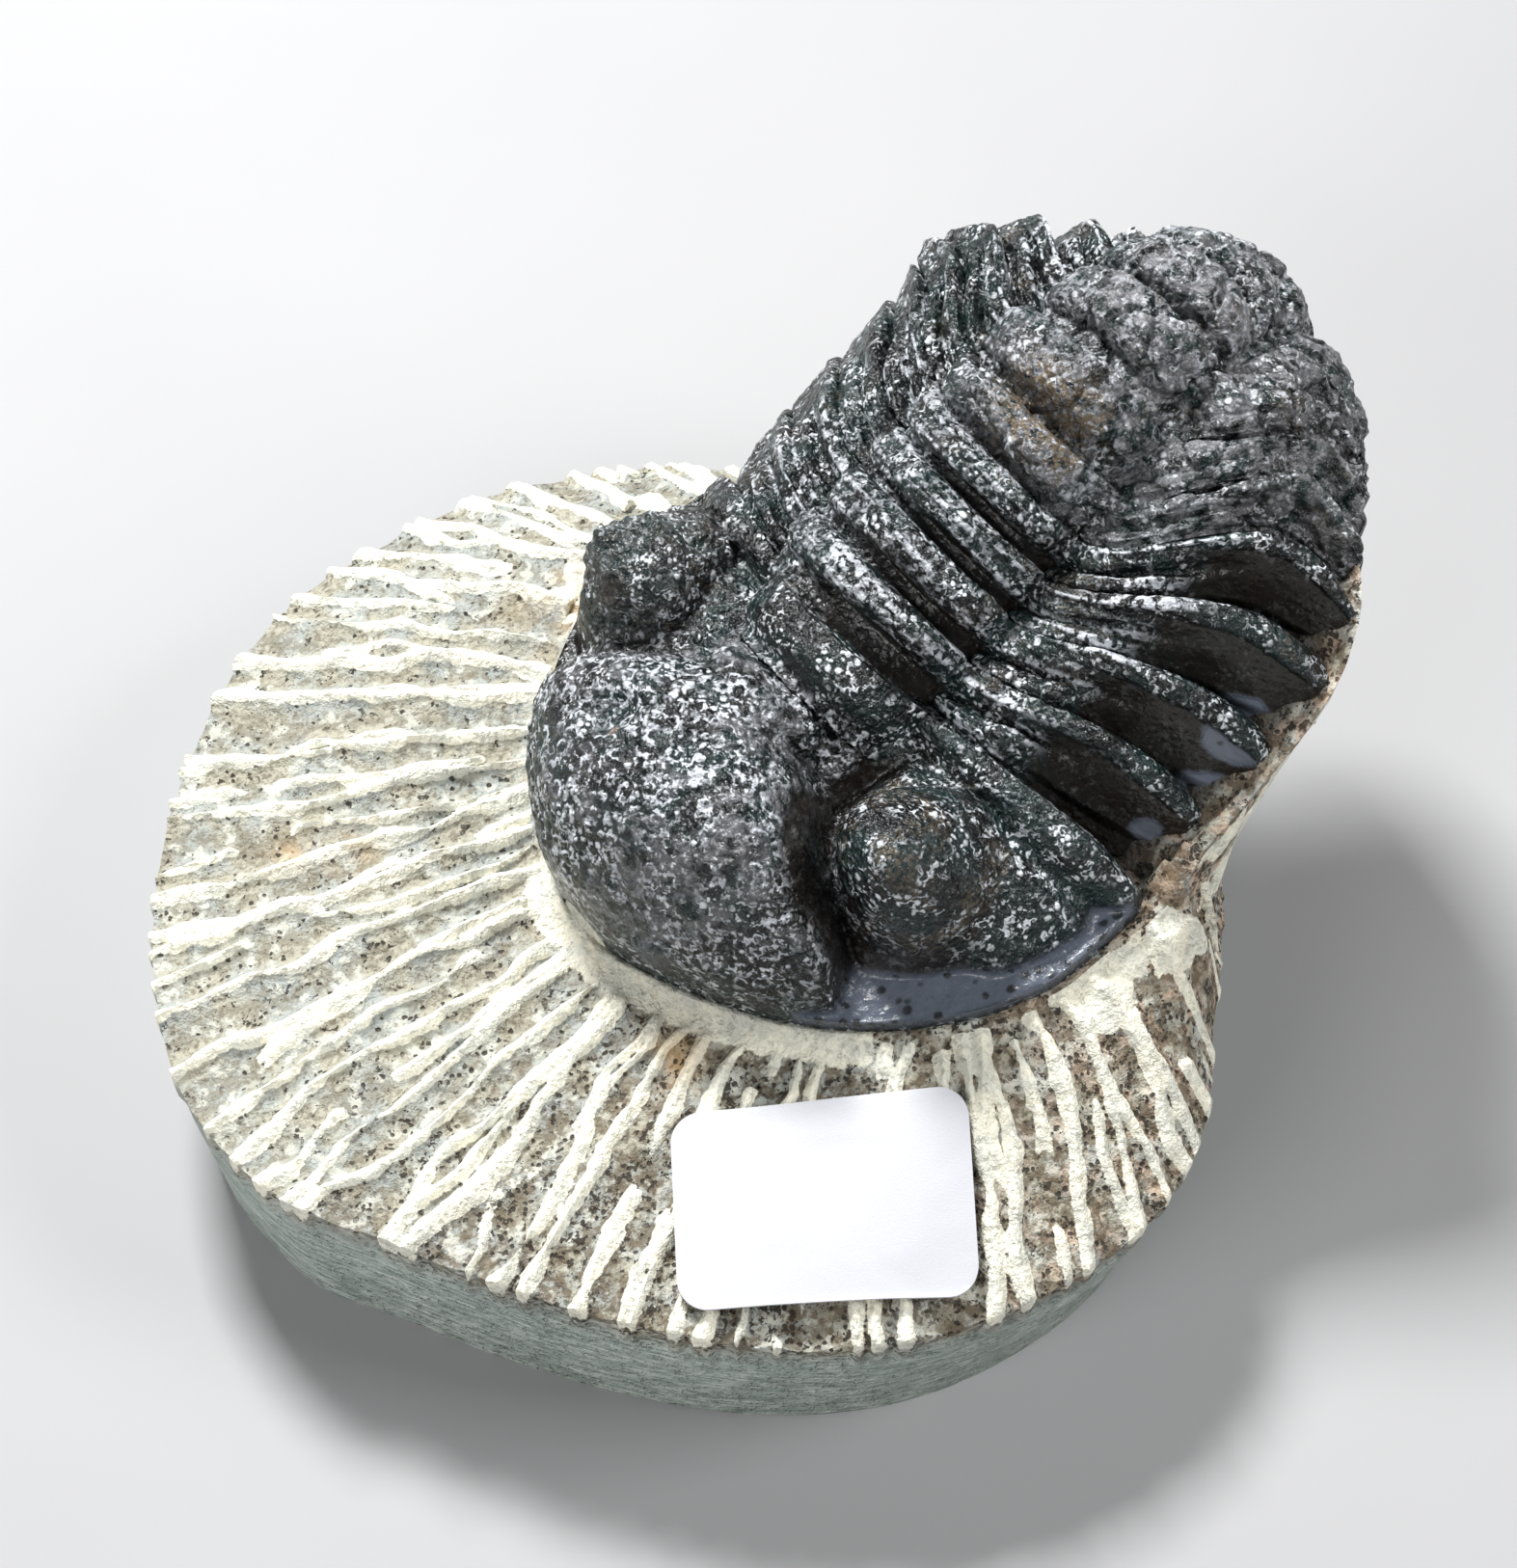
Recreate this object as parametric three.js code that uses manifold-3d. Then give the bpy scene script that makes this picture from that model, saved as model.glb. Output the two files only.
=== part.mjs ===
// A trilobite fossil on the round block of limestone that it was found in.
// Millimetres, +Z up. The origin is the middle of the footprint, at table height.

import * as THREE from 'three';
import Module from 'manifold-3d';

const wasm = await Module();
wasm.setup();

const { lerp, smoothstep, degToRad } = THREE.MathUtils;

// Driving dimensions

const GAP = 0.3;

// Outer edge of the block's top, counter-clockwise from the right.
const RIM = [
  [39.0, 1.0], [37.8, 12.0], [34.0, 22.5], [27.0, 32.0], [16.5, 38.6], [5.0, 41.2],
  [-5.4, 41.5], [-16.7, 38.7], [-24.0, 34.4], [-29.7, 29.6], [-34.4, 23.1], [-37.6, 14.1],
  [-39.2, 3.0], [-38.6, -6.5], [-35.6, -16.0], [-29.7, -23.1], [-20.7, -27.4], [-9.9, -31.9],
  [-2.0, -34.3], [5.9, -35.6], [15.8, -35.0], [25.8, -30.9], [32.7, -25.3], [36.6, -18.0],
  [37.6, -11.0], [38.6, -4.0],
];
const RIM_HEIGHT = 15.0;
const RIM_MIDDLE = [0, 2.5];
const BASE_SHARE = 0.918;
const BASE_LEAN = 0.035;
const BASE_LEAN_TOWARD = 225;

// Chisel marks that run out from under the fossil.
const CHISEL_CENTRE = [14.0, 12.0];
const RIDGES = 50;
const RIDGE_HEIGHT = 0.95;
const RIDGE_WANDER = 0.014;
// Places of the two low lines between a ridge and the next, as shares of the way.
const HOLLOWS = [0.36, 0.68];
// Rows of chisel marks between the foot of the rise and the rim: place, and share of the relief.
const CHISEL_ROWS = [[0, 0.3], [0.3, 1], [0.65, 1], [0.93, 0.9]];
const GUTTER_WIDTH = 1.6;
const GUTTER_DEPTH = 0.9;

// Raised rock under the thorax: its ledge by direction from the chisel centre, in degrees.
// It stands out beside the front segments and stays back under the rest of the thorax.
const LEDGE = [
  [-52, 0.5], [-40, 2.4], [-22, 1.3], [-6, 0.7], [6, -0.6], [20, -1.5], [132, -1.5], [146, 0.5],
];
const LEDGE_RISE = 0.4;
// The rise turns from a gutter into a wall where the fossil's edge lies between these heights.
const WALL_FROM = 25.5;
const WALL_FULL = 28.5;
const WALL_SPREAD = 1.5;
const FOOT_INSET = 1.2;
const FOOT_HEIGHT = 16.6;
const CORE_HEIGHT = 38.0;

// Head shield: its front point, its turn from +X and its tilt.
const HEAD_FRONT = [-7.6, -3.7, 18.5];
const HEAD_YAW = 38;
const HEAD_PITCH = 12;
// Half-width by distance behind the front, and rear edge by distance to the side.
const HEAD_HALF_WIDTH = [
  [-0.4, 0.0], [0.0, 2.0], [0.4, 4.0], [2.0, 8.5], [3.9, 12.5], [6.2, 16.3], [9.2, 19.9],
  [13.2, 23.2], [18.0, 25.8], [23.0, 27.0], [27.5, 26.8], [31.0, 25.4],
];
const HEAD_REAR = [[0, 29.8], [8, 30.1], [13, 30.8], [18, 31.5], [22, 31.8], [25.5, 31.1]];
const HEAD_LENGTH = 32.4;
const HEAD_WIDTH = 27.8;
const CHEEK_HEIGHT = 9.6;
const BORDER_HEIGHT = 1.7;
const CHEEK_FURROW = { back: 28.0, depth: 1.5, spread: 1.1, from: 7, to: 10 };
// The swollen middle narrows from its widest to its narrowest place behind the front point.
const GLABELLA = {
  back: 25.6, middle: 12.0, reach: 12.3, height: 16.6,
  widest: 8.9, halfFront: 20, narrowest: 21, halfBack: 7.8, roundness: 1.7,
};
const GLABELLA_FURROW = { back: 20.6, depth: 1.0, spread: 0.8, from: 2.5, to: 6 };
const NECK_RING = { height: 9.4, groove: 1.8, grooveAt: 0.4, spread: 0.9 };
const EYE = { roundness: 2.8, moat: 1.7 };
// The head is a little askew, so the eyes don't mirror each other.
const LEFT_EYE = { back: 21.3, side: 16.1, length: 8.2, width: 6.2, height: 14.7 };
const RIGHT_EYE = { back: 22.4, side: 18.0, length: 6.2, width: 6.0, height: 13.4 };
const HEAD_GRAIN = 0.2;
// The shell's underside follows its top at this share of the height, this much lower.
const UNDERSIDE = { share: 0.72, drop: 1.4, least: 1 };
const HEAD_ROWS = [
  0.005, 0.03, 0.08, 0.14, 0.21, 0.28, 0.35, 0.41, 0.46, 0.51, 0.56, 0.61, 0.66, 0.71,
  0.76, 0.8, 0.84, 0.88, 0.92, 0.96, 1,
];
const HEAD_STATIONS = mirrored([
  0.12, 0.24, 0.34, 0.42, 0.5, 0.57, 0.63, 0.69, 0.75, 0.81, 0.87, 0.93, 1,
]);
const HEAD_UNDER_STATIONS = mirrored([0.3, 0.62, 0.88, 1]);
// The back of the head leans forward by this much for its height, to meet the raised thorax.
const HEAD_LEAN = 0.36;

// Body behind the head: the bends of its middle line, by distance counted in segments.
const NECK = [10.6, 11.0, 32.2];
const FRONT_FACE = 2.25;
const SEGMENT_LENGTH = 4.5;
const SEGMENT_LENGTHS = [4.5, 4.5, 4.5, 4.5, 4.5, 4.5, 4.4, 4.1, 3.8, 3.5, 3.2];
const SEGMENTS = SEGMENT_LENGTHS.length;
const BODY_YAW = [[0, 38], [4, 35], [6, 40], [9, 48], [16, 52]];
const BODY_PITCH = [
  [0, 33], [2, 29], [4, 38], [5, 34], [6, 20], [7, 1], [8, -19], [9, -39], [11, -76], [16, -110],
];
// The segments fan out: each place on the axis and at the tips lies this far behind its usual one.
// On the left the first four are spread widest.
const AXIS_SHIFT = [
  [2.25, 0.0], [6.75, -0.6], [11.25, -0.9], [15.75, -1.5], [20.25, -2.3], [24.75, -3.0],
  [32.0, -2.4], [40.0, -1.0], [48.25, 0.0],
];
const RIGHT_TIP_SHIFT = [
  [2.25, 0.0], [13.5, 0.0], [18.0, 1.0], [22.5, 1.3], [27.0, 1.3], [36.0, 0.7], [48.25, 0.0],
];
const LEFT_TIP_SHIFT = [
  [2.25, 0.0], [6.75, 1.5], [11.25, 3.0], [15.75, 4.5], [20.25, 5.8], [24.75, 5.4],
  [29.25, 4.2], [33.65, 3.0], [37.75, 2.0], [41.55, 1.1], [45.05, 0.5], [48.25, 0.0],
];
const TAIL_LENGTH = 9.0;
const TAIL_ROWS = [0, 0.1, 0.22, 0.34, 0.46, 0.58, 0.7, 0.82, 0.92, 1];
const TAIL_RIB = 0.45;
const TAIL_GRAIN = 0.25;
const TAIL_FLATTENING = 0.75;

// Cross-section of the body, by distance counted in segments.
const AXIS_HALF_WIDTH = [[0, 8.6], [5, 7.6], [7, 6.2], [11, 5.2], [16, 4.0]];
const AXIS_HEIGHT = [[0, 5.8], [5, 5.4], [7, 4.0], [11, 2.8], [16, 2.2]];
const HALF_WIDTH = [[0, 24.8], [3, 25.6], [5, 24.0], [7, 19.6], [9, 15.6], [12, 12.5], [16, 10.0]];
const TIP_DROP = [[0, 9.2], [4, 9.0], [6, 6.8], [8, 6.0], [16, 4.6]];
// The animal's right side is pressed in to this share of its width, in the head and in the body.
const RIGHT_SHARE = 0.8;
const BODY_RIGHT_SHARE = [[0, 0.86], [3, 0.86], [5, 0.89], [7, 0.94], [9, 0.78], [12, 0.78]];
const TIP_SWEEP = 3.0;
const SHOULDER = 0.9;
const RING_FURROW = 1.1;
const RING_FURROW_AT_SIDE = 2.3;
const HALF_RING_DROP = 0.8;
const SIDE_FURROW = 0.9;
const SHELL_DEPTH = 3.4;
const EDGE_DEPTH = 0.9;
const FACET_DEPTH = 1.7;
const RIGHT_FACET_DEPTH = 0.6;
// Room between the fossil and the rock, more than the gap because the seat bends in longer steps.
const SEAT_ROOM = 0.8;
const SEAT_STEPS = 24;
const HEAD_SEAT_OPEN = 30;
const BODY_SEAT_OPEN = 22;

// Stations across the body: up to 1 is the axis, from 1 to 2 the side out to its tip.
const STATIONS = mirrored([0.4, 0.75, 1, 1.12, 1.32, 1.5, 1.68, 1.85, 2]);
const SEGMENT_STATIONS = [-1, -0.5, -0.1, 0.4, 1];

// Paper sticker
const LABEL = { middle: [9.5, -26.1], length: 20.6, width: 14.0, thickness: 0.3, corner: 2.2, turn: 3 };
const LABEL_LIFT = 1.05;

// Small helpers

// A row of places to both sides of a middle one.
function mirrored(places) {
  return [...places.map((place) => -place).reverse(), 0, ...places];
}

// Value of a table of [place, value] rows, in a straight line between two rows.
function along(table, place) {
  const next = table.findIndex((row) => row[0] > place);
  if (next === 0) {
    return table[0][1];
  }
  if (next < 0) {
    return table[table.length - 1][1];
  }
  const before = table[next - 1];
  const after = table[next];
  return lerp(before[1], after[1], (place - before[0]) / (after[0] - before[0]));
}

// A smooth bump of height 1 around a middle.
function bump(value, middle, spread) {
  return Math.exp(-(((value - middle) / spread) ** 2));
}

// A repeatable number from -1 to 1 for a whole number.
function jitter(index) {
  const wave = Math.sin(index * 12.9898 + 4.1414) * 43758.5453;
  return 2 * (wave - Math.floor(wave)) - 1;
}

// A closed smooth loop through points, as many points as asked.
function smoothLoop(points, count) {
  const curve = new THREE.CatmullRomCurve3(points, true, 'centripetal');
  return curve.getPoints(count).slice(0, count);
}

// Distance from a centre to a closed loop in a direction, and the loop's height there.
function reach(loop, centre, angle) {
  const [dx, dy] = [Math.cos(angle), Math.sin(angle)];
  let best = { r: 0, z: 0 };
  loop.forEach((a, i) => {
    const b = loop[(i + 1) % loop.length];
    const [ax, ay, bx, by] = [a.x - centre[0], a.y - centre[1], b.x - centre[0], b.y - centre[1]];
    const [across, beyond] = [dx * ay - dy * ax, dx * by - dy * bx];
    if (across * beyond > 0 || across === beyond) {
      return;
    }
    const share = across / (across - beyond);
    const r = lerp(ax, bx, share) * dx + lerp(ay, by, share) * dy;
    if (r > best.r) {
      best = { r, z: lerp(a.z, b.z, share) };
    }
  });
  return best;
}

// Solids from loops

// Triangles that close a loop from edge to edge, seen along the loop's own axis.
function capLoop(loop) {
  const normal = new THREE.Vector3();
  loop.forEach((point, j) => {
    normal.add(point.clone().cross(loop[(j + 1) % loop.length]));
  });
  const upright = new THREE.Vector3(0, 0, 1);
  const turn = new THREE.Quaternion().setFromUnitVectors(normal.normalize(), upright);
  const flat = loop.map((point) => {
    const turned = point.clone().applyQuaternion(turn);
    return new THREE.Vector2(turned.x, turned.y);
  });
  return THREE.ShapeUtils.triangulateShape(flat, []);
}

// A closed solid through a row of loops with the same number of points. Its ends are closed
// from edge to edge, or with a fan round the middle.
function loftLoops(loops, fan = false) {
  const points = [];
  const triangles = [];
  const size = loops[0].length;
  loops.forEach((loop) => points.push(...loop));
  for (let i = 0; i + 1 < loops.length; i += 1) {
    for (let j = 0; j < size; j += 1) {
      const [a, b] = [i * size + j, i * size + ((j + 1) % size)];
      triangles.push([a, b, b + size], [a, b + size, a + size]);
    }
  }
  const closeEnd = (start, order) => {
    if (!fan) {
      capLoop(points.slice(start, start + size)).forEach(([a, b, c]) => {
        triangles.push(order > 0 ? [start + a, start + b, start + c] : [start + b, start + a, start + c]);
      });
      return;
    }
    const middle = new THREE.Vector3();
    for (let j = 0; j < size; j += 1) {
      middle.addScaledVector(points[start + j], 1 / size);
    }
    const tip = points.push(middle) - 1;
    for (let j = 0; j < size; j += 1) {
      const pair = [start + j, start + ((j + 1) % size)];
      triangles.push(order > 0 ? [pair[0], pair[1], tip] : [pair[1], pair[0], tip]);
    }
  };
  closeEnd(0, -1);
  closeEnd((loops.length - 1) * size, 1);
  return facingOut(points, triangles);
}

// Turn every face over if the solid is inside out.
function facingOut(points, triangles) {
  let volume = 0;
  triangles.forEach(([a, b, c]) => {
    volume += points[a].dot(points[b].clone().cross(points[c]));
  });
  const turned = volume < 0 ? triangles.map(([a, b, c]) => [a, c, b]) : triangles;
  return { points, triangles: turned };
}

function toManifold({ points, triangles }) {
  const vertProperties = new Float32Array(points.flatMap((p) => [p.x, p.y, p.z]));
  const triVerts = new Uint32Array(triangles.flat());
  return new wasm.Manifold(new wasm.Mesh({ numProp: 3, vertProperties, triVerts }));
}

function fromManifold(solid) {
  const mesh = solid.getMesh();
  const points = [];
  for (let i = 0; i < mesh.vertProperties.length; i += mesh.numProp) {
    points.push(new THREE.Vector3(...mesh.vertProperties.slice(i, i + 3)));
  }
  const triangles = [];
  for (let i = 0; i < mesh.triVerts.length; i += 3) {
    triangles.push([...mesh.triVerts.slice(i, i + 3)]);
  }
  return { points, triangles };
}

function toMesh(name, { points, triangles }, finish) {
  const geometry = new THREE.BufferGeometry();
  const flat = points.flatMap((p) => [p.x, p.y, p.z]);
  geometry.setAttribute('position', new THREE.Float32BufferAttribute(flat, 3));
  geometry.setIndex(triangles.flat());
  geometry.computeVertexNormals();
  const mesh = new THREE.Mesh(geometry, new THREE.MeshStandardMaterial({ ...finish, metalness: 0 }));
  mesh.name = name;
  return mesh;
}

// Frames that the fossil is laid out in

// Directions towards the tail, towards the animal's left and up, from a turn and a tilt.
function directions(yaw, pitch) {
  const [turn, tilt] = [degToRad(yaw), degToRad(pitch)];
  const back = new THREE.Vector3(
    Math.cos(turn) * Math.cos(tilt),
    Math.sin(turn) * Math.cos(tilt),
    Math.sin(tilt),
  );
  const left = new THREE.Vector3(Math.sin(turn), -Math.cos(turn), 0);
  return { back, left, up: left.clone().cross(back) };
}

const headDirections = directions(HEAD_YAW, HEAD_PITCH);

// A point of the head, from its distances behind the front point, to the left and up.
function headPoint(back, side, height) {
  const lean = HEAD_LEAN * height * smoothstep(back, 10, 26);
  return new THREE.Vector3(...HEAD_FRONT)
    .addScaledVector(headDirections.back, back - lean)
    .addScaledVector(headDirections.left, side)
    .addScaledVector(headDirections.up, height);
}

// The body's middle line, walked in short steps from the neck to past the tail's end.
const WALK_STEP = 0.25;
const THORAX_END = SEGMENT_LENGTHS.reduce((sum, length) => sum + length, FRONT_FACE);
const BODY_LENGTH = THORAX_END + TAIL_LENGTH;
const middleLine = [];
const walker = new THREE.Vector3(...NECK);
for (let i = 0; i * WALK_STEP < BODY_LENGTH + 8; i += 1) {
  const segment = (i * WALK_STEP) / SEGMENT_LENGTH;
  const frame = directions(along(BODY_YAW, segment), along(BODY_PITCH, segment));
  middleLine.push({ place: walker.clone(), ...frame });
  walker.addScaledVector(frame.back, WALK_STEP);
}

// A point of the body, from its distance behind the neck, to the left and up.
function bodyPoint(distance, side, height) {
  const step = THREE.MathUtils.clamp(distance / WALK_STEP, 0, middleLine.length - 1.001);
  const [from, to] = [middleLine[Math.floor(step)], middleLine[Math.floor(step) + 1]];
  const share = step - Math.floor(step);
  const point = from.place.clone().lerp(to.place, share);
  const left = from.left.clone().lerp(to.left, share);
  const up = from.up.clone().lerp(to.up, share);
  const ahead = distance < 0 ? distance : 0;
  return point.addScaledVector(left, side).addScaledVector(up, height).addScaledVector(from.back, ahead);
}

// Place across the body for a station: how far out, and how high the plain surface is there.
function across(segment, station, widthShare = 1) {
  const axis = along(AXIS_HALF_WIDTH, segment) * widthShare;
  const out = Math.abs(station);
  if (out <= 1) {
    return { side: axis * station, height: along(AXIS_HEIGHT, segment) * Math.sqrt(1 - out * out) };
  }
  const share = out - 1;
  const pressed = station < 0 ? along(BODY_RIGHT_SHARE, segment) : 1;
  const halfWidth = along(HALF_WIDTH, segment) * widthShare * pressed;
  const shoulder = SHOULDER * Math.sin(Math.PI * share) * (1 - share);
  const side = lerp(axis, halfWidth, share) * Math.sign(station);
  return { side, height: shoulder - along(TIP_DROP, segment) * share ** 2.3 };
}

// How far the sides are swept back at a station.
function sweep(station) {
  return TIP_SWEEP * Math.max(0, Math.abs(station) - 1) ** 1.3;
}

// Thorax

// Height of a segment's relief over the plain surface. Place runs from -1 in front to 1 behind.
function segmentRelief(station, place) {
  const out = Math.abs(station);
  if (out <= 1) {
    const groove = lerp(RING_FURROW, RING_FURROW_AT_SIDE, out * out) * bump(place, -0.5, 0.3);
    const halfRing = place < -0.7 ? HALF_RING_DROP : 0;
    return 0.4 * Math.cos((place - 0.4) * 1.6) - groove - halfRing;
  }
  const share = out - 1;
  const furrowShare = bump(place, lerp(-0.3, 0.4, share), 0.35) * (1 - smoothstep(share, 0.5, 0.8));
  const depth = station < 0 ? RIGHT_FACET_DEPTH : FACET_DEPTH;
  const facet = depth * smoothstep(share, 0.4, 0.6) * smoothstep(-place, -0.3, 0.9);
  return 0.3 - SIDE_FURROW * furrowShare - facet - 0.5 * place ** 4;
}

// Distance of a segment's middle behind the neck.
function segmentMiddle(number) {
  const ahead = SEGMENT_LENGTHS.slice(0, number - 1).reduce((sum, length) => sum + length, FRONT_FACE);
  return ahead + SEGMENT_LENGTHS[number - 1] / 2;
}

// Share of a segment's length that is left towards the rounded tip of its side.
function tipShare(station) {
  const beyond = Math.max(0, (Math.abs(station) - 1.7) / 0.3);
  return Math.sqrt(1 - 0.75 * beyond * beyond);
}

// Distance behind the neck once the segments are fanned out.
function fanned(station, distance) {
  const share = smoothstep(Math.abs(station), 1, 1.75);
  const tipShift = station < 0 ? RIGHT_TIP_SHIFT : LEFT_TIP_SHIFT;
  return distance + lerp(along(AXIS_SHIFT, distance), along(tipShift, distance), share);
}

function thoracicSegment(number) {
  const reachOut = SEGMENT_LENGTHS[number - 1] / 2 - GAP / 2;
  const loops = STATIONS.map((station) => {
    const front = fanned(station, segmentMiddle(number) - reachOut);
    const end = fanned(station, segmentMiddle(number) + reachOut);
    const [middle, half] = [(front + end) / 2, (end - front) / 2];
    const { side, height } = across(middle / SEGMENT_LENGTH, station);
    const at = (place, extra) => bodyPoint(
      middle + sweep(station) + half * place * tipShare(station),
      side,
      height + extra,
    );
    const depth = Math.abs(station) === 2 ? EDGE_DEPTH : SHELL_DEPTH;
    const top = SEGMENT_STATIONS.map((place) => at(place, segmentRelief(station, place)));
    const under = [1, -1].map((place) => (
      at(place, Math.min(-depth, segmentRelief(station, place) - EDGE_DEPTH))
    ));
    return [...top, ...under];
  });
  return loftLoops(loops);
}

// Tail shield

// Width left at a share of the tail's length, which closes in a rounded end.
function tailWidth(share) {
  return Math.sqrt(Math.max(0.02, 1 - share ** 2.2));
}

function pygidium() {
  const stations = STATIONS.filter((station, column) => column % 2 === 0);
  const loops = TAIL_ROWS.map((share, row) => {
    const distance = THORAX_END + GAP / 2 + share * TAIL_LENGTH;
    const segment = distance / SEGMENT_LENGTH;
    const width = tailWidth(share);
    const flatten = lerp(1, TAIL_FLATTENING, share);
    const at = (station, extra) => {
      const { side, height } = across(segment, station, width);
      return bodyPoint(distance + sweep(station) * (1 - share), side, height * flatten + extra);
    };
    const rib = TAIL_RIB * (row % 2 ? 1 : -1) * (1 - share);
    const top = stations.map((station, column) => (
      at(station, rib + TAIL_GRAIN * jitter(row * 31 + column))
    ));
    const under = [...stations].reverse().map((station) => (
      at(station, Math.abs(station) === 2 ? -EDGE_DEPTH : -SHELL_DEPTH * lerp(1, 0.5, share))
    ));
    return [...top, ...under];
  });
  return loftLoops(loops);
}

// Head shield

// Distance to the side as it would be on the left, which isn't pressed in.
function evenSide(side) {
  return side < 0 ? -side / RIGHT_SHARE : side;
}

// Depth of a furrow that runs out to the side from where it starts.
function furrowDepth({ back: middle, depth, spread, from, to }, back, side) {
  return depth * bump(back, middle, spread) * smoothstep(side, from, to);
}

// Height of the cheeks, which fall away steeply to the margin.
function cheekHeight(back, side) {
  const ahead = Math.max(0, (HEAD_LENGTH - back) / HEAD_LENGTH);
  const out = Math.hypot(ahead, side / HEAD_WIDTH);
  const furrow = furrowDepth(CHEEK_FURROW, back, side);
  return Math.max(0, CHEEK_HEIGHT * (1 - Math.min(1, out) ** 5.5) - furrow);
}

// Height of the swollen middle, or zero outside it.
function glabellaHeight(back, side) {
  const { widest, narrowest, halfFront, halfBack, roundness } = GLABELLA;
  const halfWidth = along([[widest, halfFront], [narrowest, halfBack]], back);
  const ahead = Math.max(0, (GLABELLA.middle - back) / GLABELLA.reach);
  const out = (ahead ** roundness + (side / halfWidth) ** roundness) ** (1 / roundness);
  if (out >= 1 || back > GLABELLA.back) {
    return 0;
  }
  const lowerBehind = lerp(1, 0.88, smoothstep(back, 12, 24));
  const furrow = furrowDepth(GLABELLA_FURROW, back, side);
  return GLABELLA.height * Math.sqrt(1 - out ** 2.8) * lowerBehind - furrow;
}

// Height of the ring that joins the head to the thorax.
function neckRingHeight(back, side) {
  const out = side / AXIS_HALF_WIDTH[0][1];
  if (out >= 1 || back < GLABELLA.back) {
    return 0;
  }
  const groove = NECK_RING.groove * bump(back, GLABELLA.back + NECK_RING.grooveAt, NECK_RING.spread);
  return NECK_RING.height + AXIS_HEIGHT[0][1] * Math.sqrt(1 - out * out) - groove;
}

// Height of the eye on its side, and depth of the groove round it.
function eyeRelief(back, leftOrRight) {
  const eye = leftOrRight < 0 ? RIGHT_EYE : LEFT_EYE;
  const out = Math.hypot((back - eye.back) / eye.length, (evenSide(leftOrRight) - eye.side) / eye.width);
  return {
    eye: out < 1 ? eye.height * Math.sqrt(1 - out ** EYE.roundness) : 0,
    moat: EYE.moat * bump(out, 1.12, 0.18),
  };
}

// Height of the head's upper surface over the plane of its margin.
function headHeight(back, leftOrRight) {
  const side = evenSide(leftOrRight);
  const { eye, moat } = eyeRelief(back, leftOrRight);
  const swollen = Math.max(glabellaHeight(back, side), neckRingHeight(back, side));
  return Math.max(BORDER_HEIGHT, cheekHeight(back, side) - moat, swollen, eye);
}

// Height of its hollow underside.
function headUnderside(back, leftOrRight) {
  const side = evenSide(leftOrRight);
  const plain = Math.max(
    cheekHeight(back, side),
    glabellaHeight(back, side),
    neckRingHeight(back, side),
  );
  return Math.max(0, UNDERSIDE.share * plain - UNDERSIDE.drop);
}

// Height of the lower edge, which lies on the margin's plane in front and is raised behind.
function headEdge(back, side) {
  return headUnderside(back, side) * smoothstep(back, 24, 28);
}

// Place of a row and station of the head, grown outwards by a margin.
function headPlace(row, station, grown = 0) {
  const middle = row * HEAD_REAR[0][1];
  const halfWidth = (along(HEAD_HALF_WIDTH, middle) + grown) * (station < 0 ? RIGHT_SHARE : 1);
  const side = station * halfWidth;
  const behind = along(HEAD_REAR, Math.abs(evenSide(side) || 0)) - HEAD_REAR[0][1];
  return { back: middle + behind * smoothstep(row, 0.75, 1), side };
}

function cephalon() {
  const loops = HEAD_ROWS.map((row, rowNumber) => {
    const top = HEAD_STATIONS.map((station, column) => {
      const { back, side } = headPlace(row, station);
      const inside = Math.abs(station) < 1 && row > 0.1;
      const grain = inside ? HEAD_GRAIN * jitter(rowNumber * 37 + column) : 0;
      return headPoint(back, side, headHeight(back, side) + grain);
    });
    const under = [...HEAD_UNDER_STATIONS].reverse().map((station) => {
      const { back, side } = headPlace(row, station);
      const height = Math.abs(station) < 1 ? headUnderside(back, side) : headEdge(back, side);
      return headPoint(back, side, Math.min(height, headHeight(back, side) - UNDERSIDE.least));
    });
    return [...top, ...under];
  });
  return loftLoops(loops);
}

// Block of rock

const rimLoop = smoothLoop(RIM.map(([x, y]) => new THREE.Vector3(x, y, RIM_HEIGHT)), 180);
const baseLoop = rimLoop.map((p) => {
  const towards = Math.atan2(p.y, p.x) - degToRad(BASE_LEAN_TOWARD);
  const share = BASE_SHARE + BASE_LEAN * Math.cos(towards);
  return new THREE.Vector3(lerp(RIM_MIDDLE[0], p.x, share), lerp(RIM_MIDDLE[1], p.y, share), 0);
});

// Outline of the whole fossil as it lies, round the head's margin, the side tips and the tail.
function fossilOutline() {
  const left = [];
  const right = [];
  // The first row is the front point itself, which both sides share.
  HEAD_HALF_WIDTH.slice(1).forEach(([back, side]) => {
    left.push(headPoint(back, side, 0));
    right.push(headPoint(back, -side * RIGHT_SHARE, 0));
  });
  const put = (distance, width) => {
    [[2, left], [-2, right]].forEach(([station, list]) => {
      const { side, height } = across(distance / SEGMENT_LENGTH, station, width);
      list.push(bodyPoint(distance + sweep(station) * Math.min(1, width), side, height));
    });
  };
  for (let number = 1; number <= SEGMENTS; number += 1) {
    put(segmentMiddle(number), 1);
  }
  [0.3, 0.6, 0.8, 0.95].forEach((share) => {
    put(THORAX_END + share * TAIL_LENGTH - sweep(2) * share, tailWidth(share));
  });
  return [...left, ...right.reverse()];
}
const fossilLoop = fossilOutline();

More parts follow.
